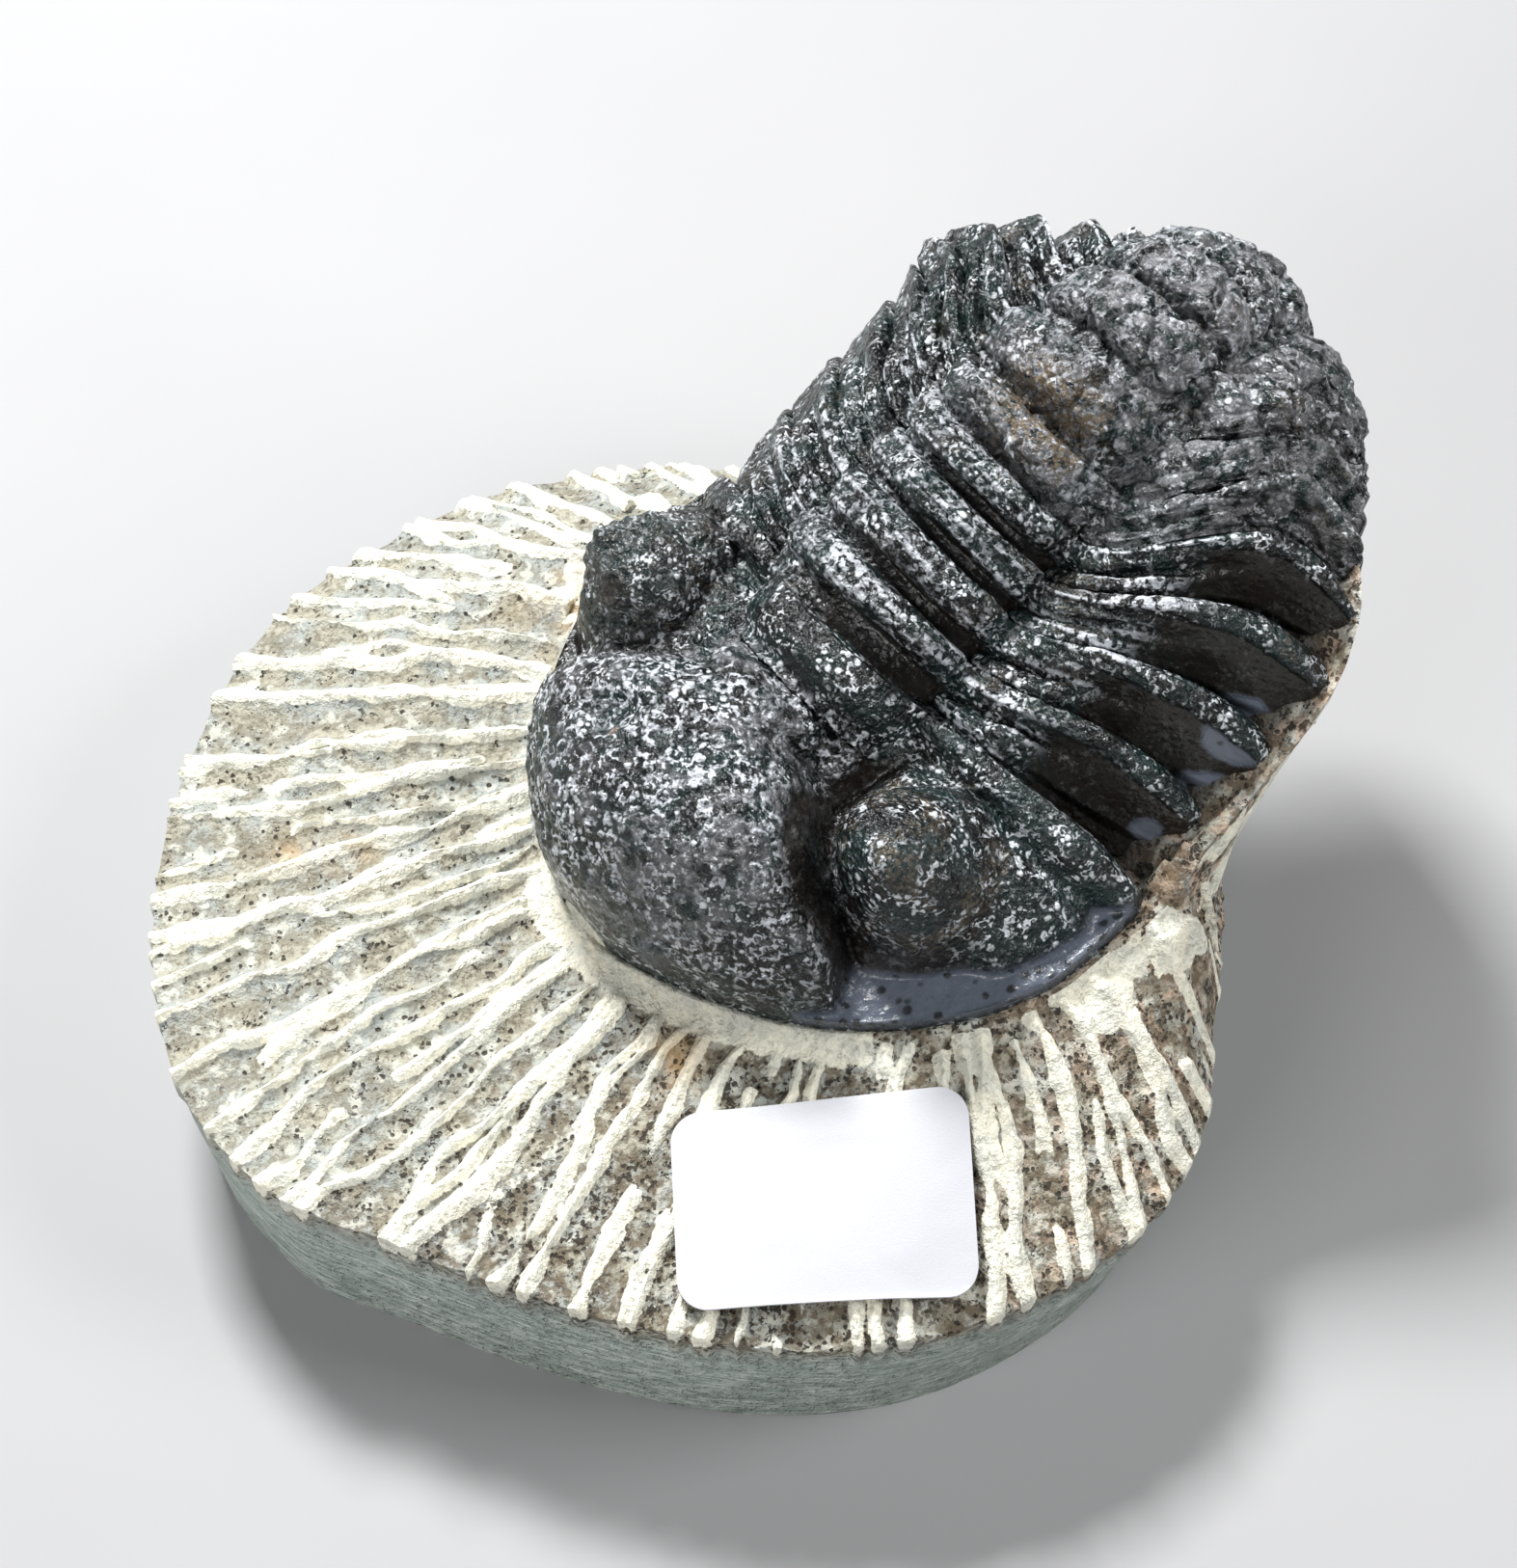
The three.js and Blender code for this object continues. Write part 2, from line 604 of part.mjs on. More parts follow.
// The block's section in one direction from the chisel centre: seat, foot of the rise, rim, base.
function blockSection(angle) {
  const fossil = reach(fossilLoop, CHISEL_CENTRE, angle);
  const rim = reach(rimLoop, CHISEL_CENTRE, angle);
  const base = reach(baseLoop, CHISEL_CENTRE, angle);
  const raised = smoothstep(fossil.z, WALL_FROM, WALL_FULL);
  const turned = THREE.MathUtils.radToDeg(angle);
  const ledge = along(LEDGE, turned > 300 ? turned - 360 : turned);
  const seat = { r: fossil.r + ledge, z: fossil.z + Math.min(LEDGE_RISE, ledge) };
  const gutter = { r: seat.r + GUTTER_WIDTH, z: seat.z - GUTTER_DEPTH };
  const wallFoot = { r: Math.min(seat.r + WALL_SPREAD, rim.r - FOOT_INSET), z: FOOT_HEIGHT };
  const foot = {
    r: Math.min(lerp(gutter.r, wallFoot.r, raised), rim.r - FOOT_INSET),
    z: lerp(gutter.z, wallFoot.z, raised),
  };
  return { seat, foot, rim, base };
}

// Top of the block between the foot of the rise and the rim, without its chisel marks.
function moundPoint({ foot, rim }, share) {
  const height = lerp(RIM_HEIGHT, foot.z, 1 - share ** 1.25);
  return { r: lerp(foot.r, rim.r, share), z: height };
}

// Height of the block's top at a place outside the fossil.
function blockTop(x, y) {
  const [dx, dy] = [x - CHISEL_CENTRE[0], y - CHISEL_CENTRE[1]];
  const section = blockSection(Math.atan2(dy, dx));
  const share = (Math.hypot(dx, dy) - section.foot.r) / (section.rim.r - section.foot.r);
  return moundPoint(section, THREE.MathUtils.clamp(share, 0, 1)).z;
}

// Direction of a chisel ridge. They are not quite evenly spread.
function ridgeAngle(index) {
  return ((index + 0.28 * jitter(index % RIDGES)) / RIDGES) * 2 * Math.PI;
}

function block() {
  const directionsOut = [];
  for (let index = 0; index < RIDGES; index += 1) {
    const [from, to] = [ridgeAngle(index), ridgeAngle(index + 1)];
    directionsOut.push({ angle: from, crest: 1 });
    HOLLOWS.forEach((share) => directionsOut.push({ angle: lerp(from, to, share), crest: 0 }));
  }
  const sections = directionsOut.map(({ angle, crest }) => ({ angle, crest, ...blockSection(angle) }));
  const at = ({ angle }, r, z, turn = 0) => new THREE.Vector3(
    CHISEL_CENTRE[0] + r * Math.cos(angle + turn),
    CHISEL_CENTRE[1] + r * Math.sin(angle + turn),
    z,
  );
  // Every third ridge starts further out, and all of them wander a little to the side.
  const mound = ([share, relief]) => sections.map((section, index) => {
    const { r, z } = moundPoint(section, share);
    const short = index % 9 === 3 && share < 0.4 ? 0.15 : 1;
    const wander = RIDGE_WANDER * jitter(index + share * 977) * Math.min(1, share * 4);
    return at(section, r, z + RIDGE_HEIGHT * relief * (section.crest * short - 0.4), wander);
  });
  const loops = [
    sections.map((s) => at(s, s.seat.r, s.seat.z)),
    ...CHISEL_ROWS.map(mound),
    sections.map((s) => at(s, s.rim.r + 0.5 * s.crest - 0.2, RIM_HEIGHT - 1.0)),
    sections.map((s) => at(s, lerp(s.rim.r, s.base.r, 0.35), RIM_HEIGHT * 0.5)),
    sections.map((s) => at(s, s.base.r, 0)),
  ];
  const solid = loftLoops(loops, true);
  // The first loop's closing point is the highest inside point, under the fossil.
  solid.points[solid.points.length - 2].z = CORE_HEIGHT;
  return toManifold(solid).subtract(toManifold(headSeat())).subtract(toManifold(bodySeat()));
}

// Space that the head needs in the rock, with room round it and open above.
function headSeat() {
  const rows = [[HEAD_ROWS[0], -1], ...HEAD_ROWS.map((row) => [row, 0]), [1, 1]];
  const loops = rows.map(([row, past]) => {
    const place = (station, grown, height) => {
      const { back, side } = headPlace(row, station, grown);
      const forward = grown * (1 - smoothstep(row, 0.1, 0.5));
      return headPoint(back + past - forward, side, height);
    };
    const floor = [...HEAD_UNDER_STATIONS].reverse().map((station) => {
      const { back, side } = headPlace(row, station);
      const inside = Math.abs(station) < 1;
      const height = inside ? headUnderside(back, side) - SEAT_ROOM : headEdge(back, side);
      return place(station, 0, height - SEAT_ROOM);
    });
    return [
      place(-1, SEAT_ROOM, HEAD_SEAT_OPEN),
      place(1, SEAT_ROOM, HEAD_SEAT_OPEN),
      place(1, SEAT_ROOM, -SEAT_ROOM),
      ...floor,
      place(-1, SEAT_ROOM, -SEAT_ROOM),
    ];
  });
  return loftLoops(loops);
}

// Space that the thorax and the tail need, in the same way.
function bodySeat() {
  const loops = [];
  const end = BODY_LENGTH + GAP;
  for (let row = 0; row <= SEAT_STEPS; row += 1) {
    const distance = end * (row / SEAT_STEPS);
    const segment = distance / SEGMENT_LENGTH;
    const tailShare = Math.max(0, (distance - THORAX_END) / TAIL_LENGTH);
    const width = tailShare > 0 ? tailWidth(Math.min(1, tailShare)) : 1;
    const flatten = lerp(1, TAIL_FLATTENING, Math.min(1, tailShare));
    const place = (station, grown, extra) => {
      const { side, height } = across(segment, station, width);
      const out = side + Math.sign(station) * grown;
      return bodyPoint(distance + sweep(station) * (1 - tailShare), out, height * flatten + extra);
    };
    const floorDepth = (station) => (Math.abs(station) === 2 ? EDGE_DEPTH + FACET_DEPTH : SHELL_DEPTH);
    const floor = [...STATIONS].reverse().map((station) => (
      place(station, 0, -floorDepth(station) - SEAT_ROOM)
    ));
    const low = -EDGE_DEPTH - FACET_DEPTH - SEAT_ROOM;
    loops.push([
      place(-2, SEAT_ROOM, BODY_SEAT_OPEN),
      place(2, SEAT_ROOM, BODY_SEAT_OPEN),
      place(2, SEAT_ROOM, low),
      ...floor,
      place(-2, SEAT_ROOM, low),
    ]);
  }
  return loftLoops(loops);
}

// Sticker

// A rounded rectangle, as [along, across] points scaled by a share.
function labelOutline(share) {
  const inner = [LABEL.length / 2 - LABEL.corner, LABEL.width / 2 - LABEL.corner];
  const points = [];
  [[1, 1], [-1, 1], [-1, -1], [1, -1]].forEach(([sx, sy], corner) => {
    [0, 30, 60, 90].forEach((step) => {
      const turn = degToRad(corner * 90 + step);
      points.push([
        sx * inner[0] + LABEL.corner * Math.cos(turn),
        sy * inner[1] + LABEL.corner * Math.sin(turn),
      ]);
    });
    const edge = corner % 2 === 0
      ? [0.5, 0, -0.5].map((part) => [sx * inner[0] * part, sy * (LABEL.width / 2)])
      : [0.4, -0.4].map((part) => [sx * (LABEL.length / 2), sy * inner[1] * part]);
    points.push(...edge);
  });
  return points.map(([u, v]) => [u * share, v * share]);
}

function label() {
  const turn = degToRad(LABEL.turn);
  const place = ([u, v], lift) => {
    const x = LABEL.middle[0] + u * Math.cos(turn) - v * Math.sin(turn);
    const y = LABEL.middle[1] + u * Math.sin(turn) + v * Math.cos(turn);
    return new THREE.Vector3(x, y, blockTop(x, y) + LABEL_LIFT + lift);
  };
  const loop = (share, lift) => labelOutline(share).map((point) => place(point, lift));
  return loftLoops([
    loop(0.6, LABEL.thickness),
    loop(1, LABEL.thickness),
    loop(1, 0),
    loop(0.6, 0),
  ]);
}

// Finishes
const limestone = { color: 0xd3cebc, roughness: 0.92 };
const headBlack = { color: 0x23272a, roughness: 0.42 };
const ribBlack = { color: 0x24282a, roughness: 0.38 };
const tailGrey = { color: 0x303335, roughness: 0.5 };
const paper = { color: 0xe9ebf2, roughness: 0.6 };

// Assembly
const group = new THREE.Group();
group.add(toMesh('matrix', fromManifold(block()), limestone));
group.add(toMesh('cephalon', cephalon(), headBlack));
for (let number = 1; number <= SEGMENTS; number += 1) {
  const name = `thoracic_segment_${String(number).padStart(2, '0')}`;
  group.add(toMesh(name, thoracicSegment(number), ribBlack));
}
group.add(toMesh('pygidium', pygidium(), tailGrey));
group.add(toMesh('label', label(), paper));

// The block and the fossil are laid out from the block's middle. The whole is moved so that the
// origin is the middle of its footprint.
const footprint = new THREE.Box3().setFromObject(group).getCenter(new THREE.Vector3());
group.position.set(-footprint.x, -footprint.y, 0);

export default group;
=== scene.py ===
"""A trilobite on its round block of chiselled limestone.

The fossil and the block are laid out in millimetres from the middle of the block, as the solids
are, and every mesh is then moved to the frame and scaled to metres.
"""

import itertools
import logging
import math
from dataclasses import dataclass, field
from enum import Enum

import bpy
import numpy as np
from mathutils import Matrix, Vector
from mathutils.bvhtree import BVHTree

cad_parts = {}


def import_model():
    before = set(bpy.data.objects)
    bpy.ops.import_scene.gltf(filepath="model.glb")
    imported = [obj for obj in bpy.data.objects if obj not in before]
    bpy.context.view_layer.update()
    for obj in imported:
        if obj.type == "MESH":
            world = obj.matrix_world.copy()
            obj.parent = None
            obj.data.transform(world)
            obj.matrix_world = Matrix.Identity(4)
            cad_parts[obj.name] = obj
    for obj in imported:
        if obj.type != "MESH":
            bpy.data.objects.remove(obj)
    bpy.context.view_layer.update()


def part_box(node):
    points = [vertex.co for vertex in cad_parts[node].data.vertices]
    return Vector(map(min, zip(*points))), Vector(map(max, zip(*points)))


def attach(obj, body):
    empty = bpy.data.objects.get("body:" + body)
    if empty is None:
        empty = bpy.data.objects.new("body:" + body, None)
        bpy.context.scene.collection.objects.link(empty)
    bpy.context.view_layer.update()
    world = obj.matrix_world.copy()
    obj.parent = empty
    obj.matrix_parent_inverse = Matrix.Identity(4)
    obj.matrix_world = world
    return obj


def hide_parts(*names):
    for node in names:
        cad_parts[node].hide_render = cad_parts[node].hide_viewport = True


LOG = logging.getLogger("trilobite")

Array = np.ndarray
Rows = tuple[tuple[float, float], ...]

MM = 0.001
GRANULE_SIZE = 0.62
WEAR_SIZE = 2.6
BLOCK_MIDDLE = (-4.7399, -3.4765)


class Slot(Enum):
    """Material slots of the record."""

    LIMESTONE = "limestone"
    SHELL = "fossil_shell"
    PAPER = "label_paper"


class Flank(Enum):
    """A side of the animal, with the sign that its stations have."""

    RIGHT = -1
    LEFT = 1


def smoothstep(value: Array, low: float | Array, high: float | Array) -> Array:
    """Rise smoothly from 0 at low to 1 at high.

    Args:
        value: Values to look at.
        low: Where the rise starts.
        high: Where the rise ends.

    Returns:
        Shares from 0 to 1.
    """
    share = np.clip((value - low) / (high - low), 0, 1)
    return share * share * (3 - 2 * share)


def bump(value: Array, middle: float | Array, spread: float) -> Array:
    """A smooth bump of height 1 around a middle."""
    return np.exp(-(((value - middle) / spread) ** 2))


def lerp(start: float | Array, end: float | Array, share: float | Array) -> float | Array:
    """The value at a share of the way from start to end."""
    return start + (end - start) * share


def along(rows: Rows, place: float | Array) -> Array:
    """Value of a list of (place, value) rows, in straight lines between them."""
    table = np.array(rows)
    return np.interp(place, table[:, 0], table[:, 1])


def flowing(rows: Rows | Array, place: float | Array) -> Array:
    """Value of a list of (place, value) rows on a curve that never swings past them.

    Args:
        rows: The rows, in rising order of place.
        place: Where to read the curve.

    Returns:
        The curve's values.
    """
    table = np.array(rows, float)
    x, y = table[:, 0], table[:, 1]
    slope = np.diff(y) / np.diff(x)
    product = slope[:-1] * slope[1:]
    total = np.where(product > 0, slope[:-1] + slope[1:], 1)
    inner = np.where(product > 0, 2 * product / total, 0)
    tangent = np.concatenate([slope[:1], inner, slope[-1:]])
    at = np.clip(place, x[0], x[-1])
    i = np.clip(np.searchsorted(x, at, side="right") - 1, 0, len(x) - 2)
    width = x[i + 1] - x[i]
    t = (at - x[i]) / width
    before = (1 + 2 * t) * (1 - t) ** 2 * y[i] + t * (1 - t) ** 2 * width * tangent[i]
    after = t * t * (3 - 2 * t) * y[i + 1] + t * t * (t - 1) * width * tangent[i + 1]
    return before + after


def soft_max(a: Array, b: Array, blend: float) -> Array:
    """The larger of two heights, with the crease between them rounded over the blend."""
    share = np.clip(0.5 + 0.5 * (a - b) / blend, 0, 1)
    return lerp(b, a, share) + blend * share * (1 - share)


def even_steps(points: Array, count: int, axis: int) -> Array:
    """Places along one axis of a grid that part its length into equal steps.

    Args:
        points: Grid of points, rows by columns by 3.
        count: How many places to give.
        axis: Axis of the grid to walk along.

    Returns:
        Places from 0 to 1 along that axis.
    """
    steps = np.linalg.norm(np.diff(points, axis=axis), axis=-1)
    mean = steps.mean(axis=1 - axis) + np.percentile(steps, 90, axis=1 - axis)
    walked = np.concatenate([[0], np.cumsum(mean)])
    return np.interp(np.linspace(0, walked[-1], count), walked, np.linspace(0, 1, len(walked)))


def swell(points: Array, outward: Array, amount: Array) -> Array:
    """Move a grid of points along its own normals.

    Args:
        points: Grid of points, rows by columns by 3.
        outward: A direction that points out of the surface.
        amount: How far each point moves.

    Returns:
        The moved points.
    """
    normal = np.cross(np.gradient(points, axis=0), np.gradient(points, axis=1))
    normal /= np.linalg.norm(normal, axis=-1, keepdims=True) + 1e-9
    sign = np.sign(np.sum(normal * outward))
    return points + sign * normal * amount[..., None]


@dataclass(frozen=True)
class Grain:
    """Repeatable random texture in space, for points in millimetres."""

    seed: int

    def chance(self, cell: Array, channel: int = 0) -> Array:
        """A random number from 0 to 1 for each whole-number cell."""
        mask = np.uint64(0xFFFFFFFF)
        parts = cell.astype(np.int64).astype(np.uint64)
        n = parts[..., 0] * np.uint64(73856093)
        n ^= parts[..., 1] * np.uint64(19349663)
        n ^= parts[..., 2] * np.uint64(83492791)
        n ^= np.uint64(self.seed * 2654435761 + channel * 40503)
        n &= mask
        n = ((n ^ (n >> np.uint64(15))) * np.uint64(2246822519)) & mask
        n = ((n ^ (n >> np.uint64(13))) * np.uint64(3266489917)) & mask
        return (n ^ (n >> np.uint64(16))).astype(float) / float(mask)

    def soft(self, points: Array, size: float | Array) -> Array:
        """Smooth noise from -1 to 1.

        Args:
            points: Points in millimetres, with 3 in the last axis.
            size: Size of the noise's features, one for all axes or one for each.

        Returns:
            One value for each point.
        """
        scaled = points / size
        base = np.floor(scaled)
        share = scaled - base
        share = share * share * (3 - 2 * share)
        total = np.zeros(points.shape[:-1])
        for corner in itertools.product((0, 1), repeat=3):
            offset = np.array(corner)
            weight = np.prod(np.where(offset, share, 1 - share), axis=-1)
            total += weight * self.chance(base + offset)
        return 2 * total - 1

    def rough(self, points: Array, size: float | Array, octaves: int = 4) -> Array:
        """Noise with finer and finer features, from about -1 to 1."""
        total = np.zeros(points.shape[:-1])
        for octave in range(octaves):
            shifted = points + 17.3 * octave
            total += self.soft(shifted, np.asarray(size) / 2**octave) / 2 ** (octave + 1)
        return total

    def cells(self, points: Array, size: float | Array) -> tuple[Array, Array, Array]:
        """Scattered cells, as in a cracked or a grainy surface.

        Args:
            points: Points in millimetres, with 3 in the last axis.
            size: Size of a cell.

        Returns:
            Distance to the nearest seed and to the next one, in cells, and a random number
            from 0 to 1 of the nearest seed.
        """
        scaled = points / size
        base = np.floor(scaled)
        first = np.full(points.shape[:-1], 9.0)
        second = first.copy()
        number = np.zeros(points.shape[:-1])
        for offset in itertools.product((-1, 0, 1), repeat=3):
            home = base + np.array(offset)
            jitter = np.stack([self.chance(home, axis + 1) for axis in range(3)], -1)
            distance = np.linalg.norm(scaled - home - jitter, axis=-1)
            nearer = distance < first
            second = np.where(nearer, first, np.minimum(second, distance))
            number = np.where(nearer, self.chance(home, 4), number)
            first = np.minimum(first, distance)
        return first, second, number

    def pimples(self, points: Array, size: float) -> Array:
        """Rounded grains of about the given size, as on a toad's skin.

        Args:
            points: Points in millimetres, with 3 in the last axis.
            size: Size of a grain.

        Returns:
            Height from 0 between the grains to 1 on top of the largest ones.
        """
        first, _, number = self.cells(points, size)
        return np.clip(1 - first / 0.72, 0, 1) ** 0.7 * (0.4 + 0.6 * number)

    def cracked(self, points: Array) -> tuple[Array, Array]:
        """Crags of a few millimetres, with narrow cracks between them.

        Args:
            points: Points in millimetres, with 3 in the last axis.

        Returns:
            Height of the crags, from about -1 to 1, and a mask of the cracks.
        """
        crag = self.rough(points, 5.0, 5)
        first, second, _ = self.cells(points + 1.2 * crag[..., None], np.array([4.5, 4.5, 7.0]))
        return crag, 1 - smoothstep(second - first, 0.0, 0.14)


def padded(masks: dict[str, Array], shape: tuple[int, ...]) -> dict[str, Array]:
    """Masks of the upper side, carried on as zero over an underside of the given shape."""
    return {name: np.concatenate([mask, np.zeros(shape)], axis=1) for name, mask in masks.items()}


@dataclass
class Loft:
    """A closed surface through a row of rings with equally many points."""

    name: str
    rings: Array
    masks: dict[str, Array] = field(default_factory=dict)
    sharp_angle: float = 55.0

    def faces(self) -> tuple[Array, Array, Array]:
        """Four-sided faces between the rings, and the loops that close both ends."""
        count, size = self.rings.shape[:2]
        row, column = np.meshgrid(np.arange(count - 1), np.arange(size), indexing="ij")
        a = (row * size + column).ravel()
        b = (row * size + (column + 1) % size).ravel()
        quads = np.stack([a, b, b + size, a + size], -1)
        first = np.arange(size)[::-1]
        last = (count - 1) * size + np.arange(size)
        points = self.rings.reshape(-1, 3)
        corners = points[quads]
        middle = points.mean(0)
        normals = np.cross(corners[:, 2] - corners[:, 0], corners[:, 3] - corners[:, 1])
        if np.sum(normals * (corners.mean(1) - middle)) < 0:
            return quads[:, ::-1], first[::-1], last[::-1]
        return quads, first, last

    def to_object(self, material: bpy.types.Material) -> bpy.types.Object:
        """Make the mesh object, in metres and in the frame.

        Args:
            material: Finish of the whole piece.

        Returns:
            The new object, linked to the scene.
        """
        quads, first, last = self.faces()
        points = self.rings.reshape(-1, 3) + np.array([*BLOCK_MIDDLE, 0])
        points = points * MM
        mesh = bpy.data.meshes.new(self.name)
        mesh.vertices.add(len(points))
        mesh.vertices.foreach_set("co", points.astype(np.float32).ravel())
        corners = np.concatenate([quads.ravel(), first, last]).astype(np.int32)
        ends = [quads.size, quads.size + len(first)]
        starts = np.concatenate([np.arange(0, quads.size, 4), ends]).astype(np.int32)
        mesh.loops.add(len(corners))
        mesh.loops.foreach_set("vertex_index", corners)
        mesh.polygons.add(len(starts))
        mesh.polygons.foreach_set("loop_start", starts)
        mesh.update(calc_edges=True)
        mesh.validate()
        mesh.shade_smooth()
        mesh.set_sharp_from_angle(angle=math.radians(self.sharp_angle))
        for mask, values in self.masks.items():
            layer = mesh.attributes.new(mask, "FLOAT", "POINT")
            layer.data.foreach_set("value", values.astype(np.float32).ravel())
        mesh.materials.append(material)
        piece = bpy.data.objects.new(self.name, mesh)
        bpy.context.scene.collection.objects.link(piece)
        return piece


def settle(piece: bpy.types.Object, node: str) -> None:
    """Put a piece in the place of its solid and report it.

    Args:
        piece: The finished piece.
        node: The solid that it stands for.
    """
    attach(piece, "root")
    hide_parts(node)
    LOG.info("%s: %d faces", piece.name, len(piece.data.polygons))


def solid_tree(node: str) -> BVHTree:
    """Search tree of a solid's faces."""
    return BVHTree.FromObject(bpy.data.objects[node], bpy.context.evaluated_depsgraph_get())


def directions(yaw: float | Array, pitch: float | Array) -> tuple[Array, Array, Array]:
    """Directions towards the tail, towards the animal's left and up, from a turn and a tilt."""
    turn, tilt = np.radians(yaw), np.radians(pitch)
    flat = np.cos(tilt)
    back = np.stack([np.cos(turn) * flat, np.sin(turn) * flat, np.sin(tilt) + 0 * turn], -1)
    left = np.stack([np.sin(turn), -np.cos(turn), 0 * turn], -1)
    return back, left, np.cross(left, back)


@dataclass
class BodyLine:
    """The body's middle line and its cross-section, by distance behind the neck."""

    neck: tuple[float, float, float] = (10.6, 11.0, 32.2)
    front_face: float = 2.25
    segment: float = 4.5
    lengths: tuple[float, ...] = (4.5, 4.5, 4.5, 4.5, 4.5, 4.5, 4.4, 4.1, 3.8, 3.5, 3.2)
    tail_length: float = 9.0
    yaw: Rows = ((0, 38), (4, 35), (6, 40), (9, 48), (16, 52))
    pitch: Rows = (
        (0, 33), (2, 29), (4, 38), (5, 34), (6, 20), (7, 1), (8, -19), (9, -39), (11, -76),
        (16, -110),
    )
    axis_width: Rows = ((0, 8.6), (5, 7.6), (7, 6.2), (11, 5.2), (16, 4.0))
    axis_height: Rows = ((0, 5.8), (5, 5.4), (7, 4.0), (11, 2.8), (16, 2.2))
    half_width: Rows = (
        (0, 24.8), (3, 25.6), (5, 24.0), (7, 19.6), (9, 15.6), (12, 12.5), (16, 10.0),
    )
    tip_drop: Rows = ((0, 9.2), (4, 9.0), (6, 6.8), (8, 6.0), (16, 4.6))
    right_share: Rows = ((0, 0.86), (3, 0.86), (5, 0.89), (7, 0.94), (9, 0.78), (12, 0.78))
    axis_shift: Rows = (
        (2.25, 0.0), (6.75, -0.6), (11.25, -0.9), (15.75, -1.5), (20.25, -2.3), (24.75, -3.0),
        (32.0, -2.4), (40.0, -1.0), (48.25, 0.0),
    )
    right_tip_shift: Rows = (
        (2.25, 0.0), (13.5, 0.0), (18.0, 1.0), (22.5, 1.3), (27.0, 1.3), (36.0, 0.7), (48.25, 0.0),
    )
    left_tip_shift: Rows = (
        (2.25, 0.0), (6.75, 1.5), (11.25, 3.0), (15.75, 4.5), (20.25, 5.8), (24.75, 5.4),
        (29.25, 4.2), (33.65, 3.0), (37.75, 2.0), (41.55, 1.1), (45.05, 0.5), (48.25, 0.0),
    )
    tip_sweep: float = 3.0
    shoulder: float = 0.9
    step: float = 0.25

    def __post_init__(self) -> None:
        """Walk the middle line once, from the neck to past the tail's end."""
        self.thorax_end = self.front_face + sum(self.lengths)
        self.length = self.thorax_end + self.tail_length
        place = np.arange(int((self.length + 8) / self.step)) * self.step / self.segment
        frame = directions(along(self.yaw, place), along(self.pitch, place))
        self.back, self.left, self.up = frame
        walked = np.cumsum(self.back * self.step, axis=0)
        self.line = np.array(self.neck) + np.concatenate([np.zeros((1, 3)), walked[:-1]])

    def point(self, distance: Array, side: Array, height: Array) -> Array:
        """Point of the body from its distance behind the neck, to the left and up."""
        step = np.clip(distance / self.step, 0, len(self.line) - 1.001)
        low = np.floor(step).astype(int)
        share = (step - low)[..., None]
        place = lerp(self.line[low], self.line[low + 1], share)
        left = lerp(self.left[low], self.left[low + 1], share)
        up = lerp(self.up[low], self.up[low + 1], share)
        ahead = np.minimum(distance, 0)[..., None] * self.back[low]
        return place + left * side[..., None] + up * height[..., None] + ahead

    def upward(self, distance: Array) -> Array:
        """Direction away from the animal's back at a distance behind the neck."""
        step = np.clip(distance / self.step, 0, len(self.line) - 1).astype(int)
        return self.up[step]

    def across(
        self, distance: Array, station: Array, width: float | Array = 1.0
    ) -> tuple[Array, Array]:
        """How far out a station is, and how high the plain surface is there.

        Args:
            distance: Distance behind the neck.
            station: Place across: up to 1 is the axis, from 1 to 2 the side out to its tip.
            width: Share of the width that is left, as in the tail.

        Returns:
            Distance to the left and height.
        """
        segment = distance / self.segment
        axis = flowing(self.axis_width, segment) * width
        out = np.abs(station)
        share = np.clip(out - 1, 0, 1)
        pressed = np.where(station < 0, flowing(self.right_share, segment), 1)
        half = flowing(self.half_width, segment) * width * pressed
        crown = flowing(self.axis_height, segment) * np.sqrt(np.clip(1 - out * out, 0, 1))
        hump = self.shoulder * np.sin(np.pi * share) * (1 - share)
        drop = hump - flowing(self.tip_drop, segment) * share**2.3
        side = np.where(out <= 1, axis * station, lerp(axis, half, share) * np.sign(station))
        return side, np.where(out <= 1, crown, drop)

    def sweep(self, station: Array) -> Array:
        """How far the sides are swept back at a station."""
        return self.tip_sweep * np.maximum(0, np.abs(station) - 1) ** 1.3

    def fanned(self, station: Array, distance: float) -> Array:
        """Distance behind the neck once the plates are fanned out."""
        share = smoothstep(np.abs(station), 1, 1.75)
        on_left = along(self.left_tip_shift, distance)
        on_right = along(self.right_tip_shift, distance)
        at_tip = np.where(station < 0, on_right, on_left)
        return distance + lerp(along(self.axis_shift, distance), at_tip, share)

    def segment_middle(self, number: int) -> float:
        """Distance of a segment's middle behind the neck."""
        return self.front_face + sum(self.lengths[: number - 1]) + self.lengths[number - 1] / 2


@dataclass(frozen=True)
class Eye:
    """Place and size of an eye on the head."""

    back: float
    side: float
    length: float
    width: float
    height: float

    def share(self, back: Array, side: Array) -> Array:
        """How far out a place is from the middle of the eye, in eye sizes."""
        return np.hypot((back - self.back) / self.length, (side - self.side) / self.width)


@dataclass(frozen=True)
class Furrow:
    """A furrow across the head that deepens outwards from the middle."""

    depth: float
    back: float
    spread: float
    start: float
    full: float

    def at(self, back: Array, side: Array) -> Array:
        """Depth of the furrow at a place."""
        across = bump(back, self.back, self.spread)
        return self.depth * across * smoothstep(side, self.start, self.full)


